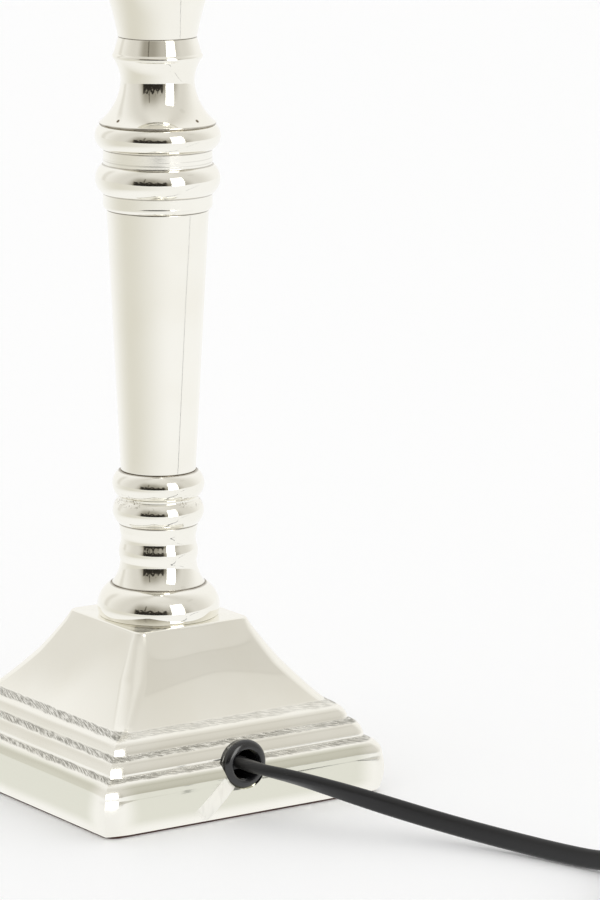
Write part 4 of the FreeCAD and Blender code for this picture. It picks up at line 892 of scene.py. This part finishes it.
def screw_shell():
    """The brass shell: a thin sheet whose both faces follow the lamp cap's thread."""
    height = np.arange(296.0, 321.05, ROW_STEP)
    rows = np.vstack([np.stack([np.full(len(height), radius), height], axis=1)[::way]
                      for radius, way in ((SHELL_OUTSIDE, 1), (SHELL_INSIDE, -1))])
    points = turned_points(rows, 120)
    level = points[..., 2] / MM
    fade = (np.clip((level - SHELL_FROM) / SHELL_FADE, 0, 1)
            * np.clip((SHELL_TO - level) / SHELL_FADE, 0, 1))
    turns = TAU * level / SHELL_PITCH - angles(120)
    points = pushed_out(points, SHELL_SWELL * np.cos(turns) * fade * MM)
    return add_piece("shell", points, brass)


fitted(holder_skirt(), "black_moulding", "holder_skirt")
fitted(shade_ring(), "black_moulding", "shade_ring", body="shade_ring")
fitted(screw_shell(), "contact_brass", "screw_shell")


# ---------------- inline switch

SWITCH_MIDDLE = (*SWITCH[:2], 0.0)
SWITCH_HALF_X, SWITCH_EXTRA = 13.5, 16.5
SWITCH_CORNER, SWITCH_KEEN, HOLLOW_CORNER, BAR_CORNER = 4.0, 0.4, 2.3, 0.4
SWITCH_HEART = 1.31         # the outline stops here, and a flat face closes it
SLOT = (2.05, 34.0, 3.25, 9.75)     # half width, half length, from and to a height
MOUTH = (5.4, 9.7, 5.0, 16.0)
ROCKER_MIDDLE = (*SWITCH[:2], 12.4)
ROCKER_TILT = 8.0           # degrees


def switch_block(name, rows, corners, extra=SWITCH_EXTRA):
    """Rows carried round a rectangle about the switch's middle, with flat ends."""
    points = moved(block_points(rows, corners, extra), SWITCH_MIDDLE)
    return grid_mesh(name, points, ends=True)


def switch_shell(name, steps, hollow, cutters):
    """One half of the switch's case: an outline carried round its plan, hollowed out."""
    rows = outline(steps, ease=0.3, spacing=0.4)
    rows = rows[rows[:, 0] > SWITCH_HEART]
    corners = np.clip(SWITCH_CORNER - (SWITCH_HALF_X - rows[:, 0]), SWITCH_KEEN,
                      SWITCH_CORNER)
    piece = add_object(name, switch_block(name, rows, corners), moulding)
    inside = switch_block("inside", np.array(hollow), np.full(len(hollow), HOLLOW_CORNER))
    return carve(piece, [inside] + cutters, 35)


def bar(name, half_x, half_y, low, high):
    """A square bar at the switch's middle, to cut with."""
    rows = np.array([[half_x, low], [half_x, high]])
    return switch_block(name, rows, np.full(2, BAR_CORNER), half_y - half_x)


def switch_case():
    """The switch's base and cover: soft-edged halves with slots for the flex."""
    base = switch_shell("switch_tray", [
        (1.0, 0.3), (12.0, 0.3), (13.0, 0.6, 13.4, 1.6), (13.5, 6.45), (1.0, 6.45),
    ], [(11.8, 2.0), (11.8, 7.2)], [bar("slot", *SLOT)])
    fitted(base, "black_moulding", "switch_base", shines=False)
    cover = switch_shell("switch_lid", [
        (1.0, 6.55), (13.5, 6.55), (13.5, 9.0), (13.2, 12.6, 10.6, 14.2), (1.0, 14.6),
    ], [(11.8, 5.6), (11.8, 12.0), (11.0, 12.9)],
        [bar("slot", *SLOT), bar("mouth", *MOUTH)])
    fitted(cover, "black_moulding", "switch_cover", shines=False)


def rocker():
    """The rocker: a saddle-backed side outline carried across, its ends drawn in."""
    rows = outline([(-9.2, -1.0), (-9.25, 1.5, -8.65, 3.4), (0.0, 2.3, 8.65, 3.4),
                    (9.25, 1.5, 9.2, -1.0)], ease=0.5, spacing=0.4)
    across = np.array([-5.0, -5.0, -4.7, -4.2, 4.2, 4.7, 5.0, 5.0])
    draw = np.array([0.6, 0.94, 0.98, 1.0, 1.0, 0.98, 0.94, 0.6])
    middle = rows.mean(axis=0)
    flat = middle + (rows - middle)[None] * draw[:, None, None]
    tilt = math.radians(ROCKER_TILT)
    y = flat[..., 0] * math.cos(tilt) - flat[..., 1] * math.sin(tilt)
    z = flat[..., 0] * math.sin(tilt) + flat[..., 1] * math.cos(tilt)
    x = np.broadcast_to(across[:, None], y.shape)
    points = moved(np.stack([x, y, z], axis=-1) * MM, ROCKER_MIDDLE)
    return add_piece("rocker_skin", points, moulding, 40, ends=True)


switch_case()
fitted(rocker(), "black_moulding", "switch_rocker", body="rocker", shines=False)


# ---------------- plug and tie

PLUG_SECTIONS = [  # along, half width, half thickness, corner
    (0.0, 3.4, 2.6, 1.6), (0.4, 4.2, 3.4, 2.4), (12.0, 4.6, 4.6, 3.2),
    (13.5, 6.6, 5.6, 3.2), (16.0, 9.0, 6.4, 3.0), (22.0, 14.0, 6.8, 3.0),
    (27.0, 17.0, 6.8, 3.0), (30.0, 17.65, 6.8, 3.0), (47.4, 17.65, 6.8, 3.0),
    (48.6, 17.2, 6.4, 2.7), (49.0, 16.4, 5.6, 2.0),
]
NECK_RIBS = (1.6, 11.2, 1.6)        # from, to, pitch
NECK_RIB_UP = 0.35
PIN_APART, PIN_FROM = 9.3, 301.0
TIE_MIDDLE = (-15.5, 302.6, 7.15)
TIE_HALF_DEEP, TIE_HALF_TALL, TIE_CORNER = 9.0, 7.05, 1.2
# Round the tie's section: x, and how far it lies in from the loop's outside.
TIE_SECTION = [(-4.0, 0.15), (-3.9, 0.0), (3.9, 0.0), (4.0, 0.15), (4.0, 0.45), (3.9, 0.6),
               (-3.9, 0.6), (-4.0, 0.45)]


def plug_body():
    """The flat plug: rounded sections along its length, ribbed over the neck."""
    table = np.array(PLUG_SECTIONS)
    along = np.unique(np.concatenate([np.arange(0, 49.01, 0.4), table[:, 0]]))
    wide, thick, corner = (np.interp(along, table[:, 0], table[:, k]) for k in (1, 2, 3))
    first, last, pitch = NECK_RIBS
    ribbed = (along > first) & (along < last)
    rib = np.where(ribbed, NECK_RIB_UP * np.sin((along - first) / pitch * TAU), 0.0)
    rows = np.stack([thick + rib, along], axis=1)
    points = laid_along_y(block_points(rows, corner, (wide - thick)[:, None], 6, 8))
    return add_piece("plug", moved(points, PLUG), moulding, 45, ends=True)


def plug_pin(name, side):
    """A round pin with a rounded tip, to one side of the plug's middle."""
    rows = np.array([(0.05, -2.0), (2.0, -2.0), (2.0, 0.0), (2.0, 17.2), (1.9, 18.1),
                     (1.5, 18.7), (0.8, 18.97), (0.05, 19.0)])
    points = moved(laid_along_y(turned_points(rows, 32)),
                   (PLUG[0] + PIN_APART * side, PIN_FROM, PLUG[2]))
    return add_piece(name, points, pin_metal, 50, ends=True)


def tie():
    """The strap round the coil: a flat band carried round a soft-cornered loop."""
    quarter = np.linspace(0, math.pi / 2, 8)
    turn = (quarter + np.arange(4)[:, None] * math.pi / 2).ravel()
    sides = np.repeat(np.array([(1, 1), (-1, 1), (-1, -1), (1, -1)]), 8, axis=0)
    centre_y = sides[:, 0] * (TIE_HALF_DEEP - TIE_CORNER)
    centre_z = sides[:, 1] * (TIE_HALF_TALL - TIE_CORNER)
    x, inset = np.array(TIE_SECTION).T[..., None]
    bend = TIE_CORNER - inset
    points = np.stack(np.broadcast_arrays(x, centre_y + np.cos(turn) * bend,
                                          centre_z + np.sin(turn) * bend), axis=-1)
    return add_piece("tie", moved(points * MM, TIE_MIDDLE), sheath, 40)


fitted(plug_body(), "black_moulding", "plug_body", shines=False)
for pin, side in (("pin_left", -1), ("pin_right", 1)):
    fitted(plug_pin(pin, side), "pin_nickel", "plug_pins", shines=False)
fitted(tie(), "black_flex", "cord_tie", shines=False)


# ---------------- other CAD nodes

FINISHES = [
    (iron, ["ballast_plate"]), (insulation, ["core_leads"]), (sheath, ["inner_cord"]),
    (steel, ["ballast_screws", "cord_clamp", "clamp_screws", "threaded_rod", "rod_washer",
             "rod_nut", "switch_screws"]),
    (moulding, ["holder_cap", "holder_insert"]),
    (brass, ["centre_contact", "side_contact", "terminal_screws"]),
]
for finish, nodes in FINISHES:
    for node in nodes:
        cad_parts[node].data.materials.clear()
        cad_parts[node].data.materials.append(finish)


# ---------------- table and light

TABLE_EDGE = 1.5            # in front of the column, towards the camera
TABLE_FAR = 6.0
FACING = math.radians(CAMERA_ROUND)


def towards_camera(x, y):
    """How far a place lies ahead, towards the camera, and across, to the camera's right."""
    return (x * math.cos(FACING) + y * math.sin(FACING),
            y * math.cos(FACING) - x * math.sin(FACING))


def bearing(ahead, across):
    """Degrees round Z from the camera's side."""
    return across.maths("ARCTAN2", ahead) * math.degrees(1)


def table_top():
    """A white table that ends behind the camera.

    What shines shows it evenly lit, with a painted shadow, a duller beige patch, towards
    the left in front.
    """
    paint = Paint("table", Roughness=0.7, Base_Color=colour(0.99, 0.99, 0.99))
    x, y, _ = paint.parts(paint.place())
    ahead, across = towards_camera(x, y)
    away = (ahead * ahead + across * across).between(0.015, 0.14)
    round_by = bearing(ahead, across)
    # Painted shadow: a beige patch on the table, seen only in reflections, to the left in
    # front and away from the base.
    dull = (round_by + 150).between(0.0, 75.0) * (1 - (round_by + 72).between(0.0, 112.0))
    reflected_table_painted_shadow = paint.node("ShaderNodeEmission", {}, {
        "Color": paint.mixed(away * dull, colour(0.99, 0.99, 0.985),
                             colour(0.77, 0.755, 0.69))})
    shown = paint.node("ShaderNodeMixShader", {}, {
        0: paint.node("ShaderNodeLightPath", out="Is Glossy Ray"),
        1: Value(paint, paint.surface.outputs[0]), 2: reflected_table_painted_shadow})
    paint.tree.links.new(shown.socket, paint.output.inputs["Surface"])
    corners = []
    for forward, sideways in ((TABLE_EDGE, -TABLE_FAR), (TABLE_EDGE, TABLE_FAR),
                              (-TABLE_FAR, TABLE_FAR), (-TABLE_FAR, -TABLE_FAR)):
        corners.append((forward * math.cos(FACING) - sideways * math.sin(FACING),
                        forward * math.sin(FACING) + sideways * math.cos(FACING), 0.0))
    mesh = bpy.data.meshes.new("table")
    mesh.from_pydata(corners, [], [(0, 1, 2, 3)])
    add_object("table", mesh, paint.material)


ROOM_SHADES = [(0.0, (0.012, 0.010, 0.008)), (0.25, (0.26, 0.24, 0.195)),
               (0.5, (0.50, 0.48, 0.43)), (0.8, (0.80, 0.785, 0.745)),
               (1.0, (1.0, 0.995, 0.98))]


def room():
    """White to the camera, even to the light, and a dim room in what shines.

    The room lies on the camera's side: grey, darker low down, with dark shapes, a pole
    and a bright window to the right of the middle, and white at both sides with a
    rimmed panel on the right and a soft dull band on the left. The turn is in degrees
    round Z from the camera's side, and up in degrees from level.
    """
    world = bpy.data.worlds.new("room")
    bpy.context.scene.world = world
    world.use_nodes = True
    sky = Nodes(world.node_tree)
    back = world.node_tree.nodes["Background"]
    x, y, z = sky.parts(sky.node("ShaderNodeTexCoord", out="Generated"))
    turn = bearing(*towards_camera(x, y))
    up = z.maths("ARCSINE") * math.degrees(1)
    lumps = sky.node("ShaderNodeTexNoise", {},
                     {"Vector": sky.vector(turn * 0.16, up * 0.11, 0.0), "Scale": 1.0,
                      "Detail": 4.0, "Roughness": 0.65})
    level = (0.27 + 0.2 * up.between(0.0, 18.0) + 0.32 * up.between(12.0, 48.0)
             + 0.08 * up.between(50.0, 80.0))
    aside = abs(turn - 4.0)
    level = level + (0.74 - level) * (aside + up * 0.15).between(36.0, 72.0)
    level = level + (0.985 - level) * (aside + up * 0.15).between(74.0, 135.0)
    shapes = ((turn + 48).between(0.0, 5.0) * (20 - turn).between(0.0, 6.0)
              * (lumps * 70.0 - 20.0 - up).between(-1.0, 2.0))
    pole = turn.near(-25.5, 2.2) * (36 - up).between(0.0, 2.0)
    gloom = (turn + 58).between(0.0, 22.0) * (8 - turn).between(-10.0, 22.0)
    level = level * (1 - 0.36 * gloom * (58 - up).between(0.0, 34.0))
    wide, tall = (turn - 80) * (1 / 8.0), (up - 42.5) * (1 / 3.0)
    rim = (wide * wide + tall * tall).maths("SQRT")
    level = level - rim.near(1.0, 0.12) * 0.12 - 0.05 * (1 - rim).between(0.0, 0.2)
    level = level - turn.near(-119.0, 13.0) * 0.17 * (48 - up).between(0.0, 18.0)
    dark = shapes.maths("MAXIMUM", pole * 0.85)
    shade = sky.node("ShaderNodeValToRGB", {"stops": ROOM_SHADES},
                     {0: level * (1 - 0.93 * dark)})
    window = ((turn - 25).between(0.0, 1.5) * (51 - turn).between(0.0, 1.5)
              * (40 - up).between(0.0, 2.0))
    shade = sky.mixed(window, shade, colour(4.0, 4.0, 3.9))
    glossy = sky.node("ShaderNodeLightPath", out="Is Glossy Ray")
    seen = sky.node("ShaderNodeLightPath", out="Is Camera Ray")
    white = colour(1.0, 1.0, 1.0)
    shown = sky.mixed(seen, sky.mixed(glossy, white, shade), white)
    sky.tree.links.new(shown.socket, back.inputs["Color"])
    back.inputs["Strength"].default_value = 1.0


# Where the photograph's flex runs on to, in millimetres, after the first points of the
# route. Its mirror image is thinner, and leaves out the stretch beside the switch.
ROUTE_SHARED = 8
MIRROR_ROUTE = [(-60, 175, 3), (-100, 228, 3), (-153, 285, 3), (-240, 360, 3),
                (-340, 425, 3), (-461, 493, 3), (-700, 600, 3)]
MIRROR_SCALE = 0.85
MIRROR_STOP, MIRROR_START = 0.14, 0.25      # y, in metres


def reflected_flex():
    """The flex as the photograph's lamp has it, running on over the table.

    It is seen in the plate only. The lamp's own flex is coiled out of the view instead,
    and the stretch beside the inline switch is left out.
    """
    onward = np.array(MIRROR_ROUTE, float) * MM
    route = np.concatenate([flex_route()[:ROUTE_SHARED], onward])
    line = smooth_line("reflected_line", route, 8)
    skin = flex_tube(line, MIRROR_SCALE)
    near, far = skin[line[:, 1] < MIRROR_STOP], skin[line[:, 1] > MIRROR_START]
    for name, part in (("reflected_flex_near", near), ("reflected_flex_far", far)):
        mirror = add_piece(name, part, sheath, 50, ends=True)
        mirror.visible_camera = mirror.visible_diffuse = mirror.visible_shadow = False
    flex.visible_glossy = False


table_top()
room()
reflected_flex()
scene = bpy.context.scene
scene.view_settings.view_transform = "Standard"
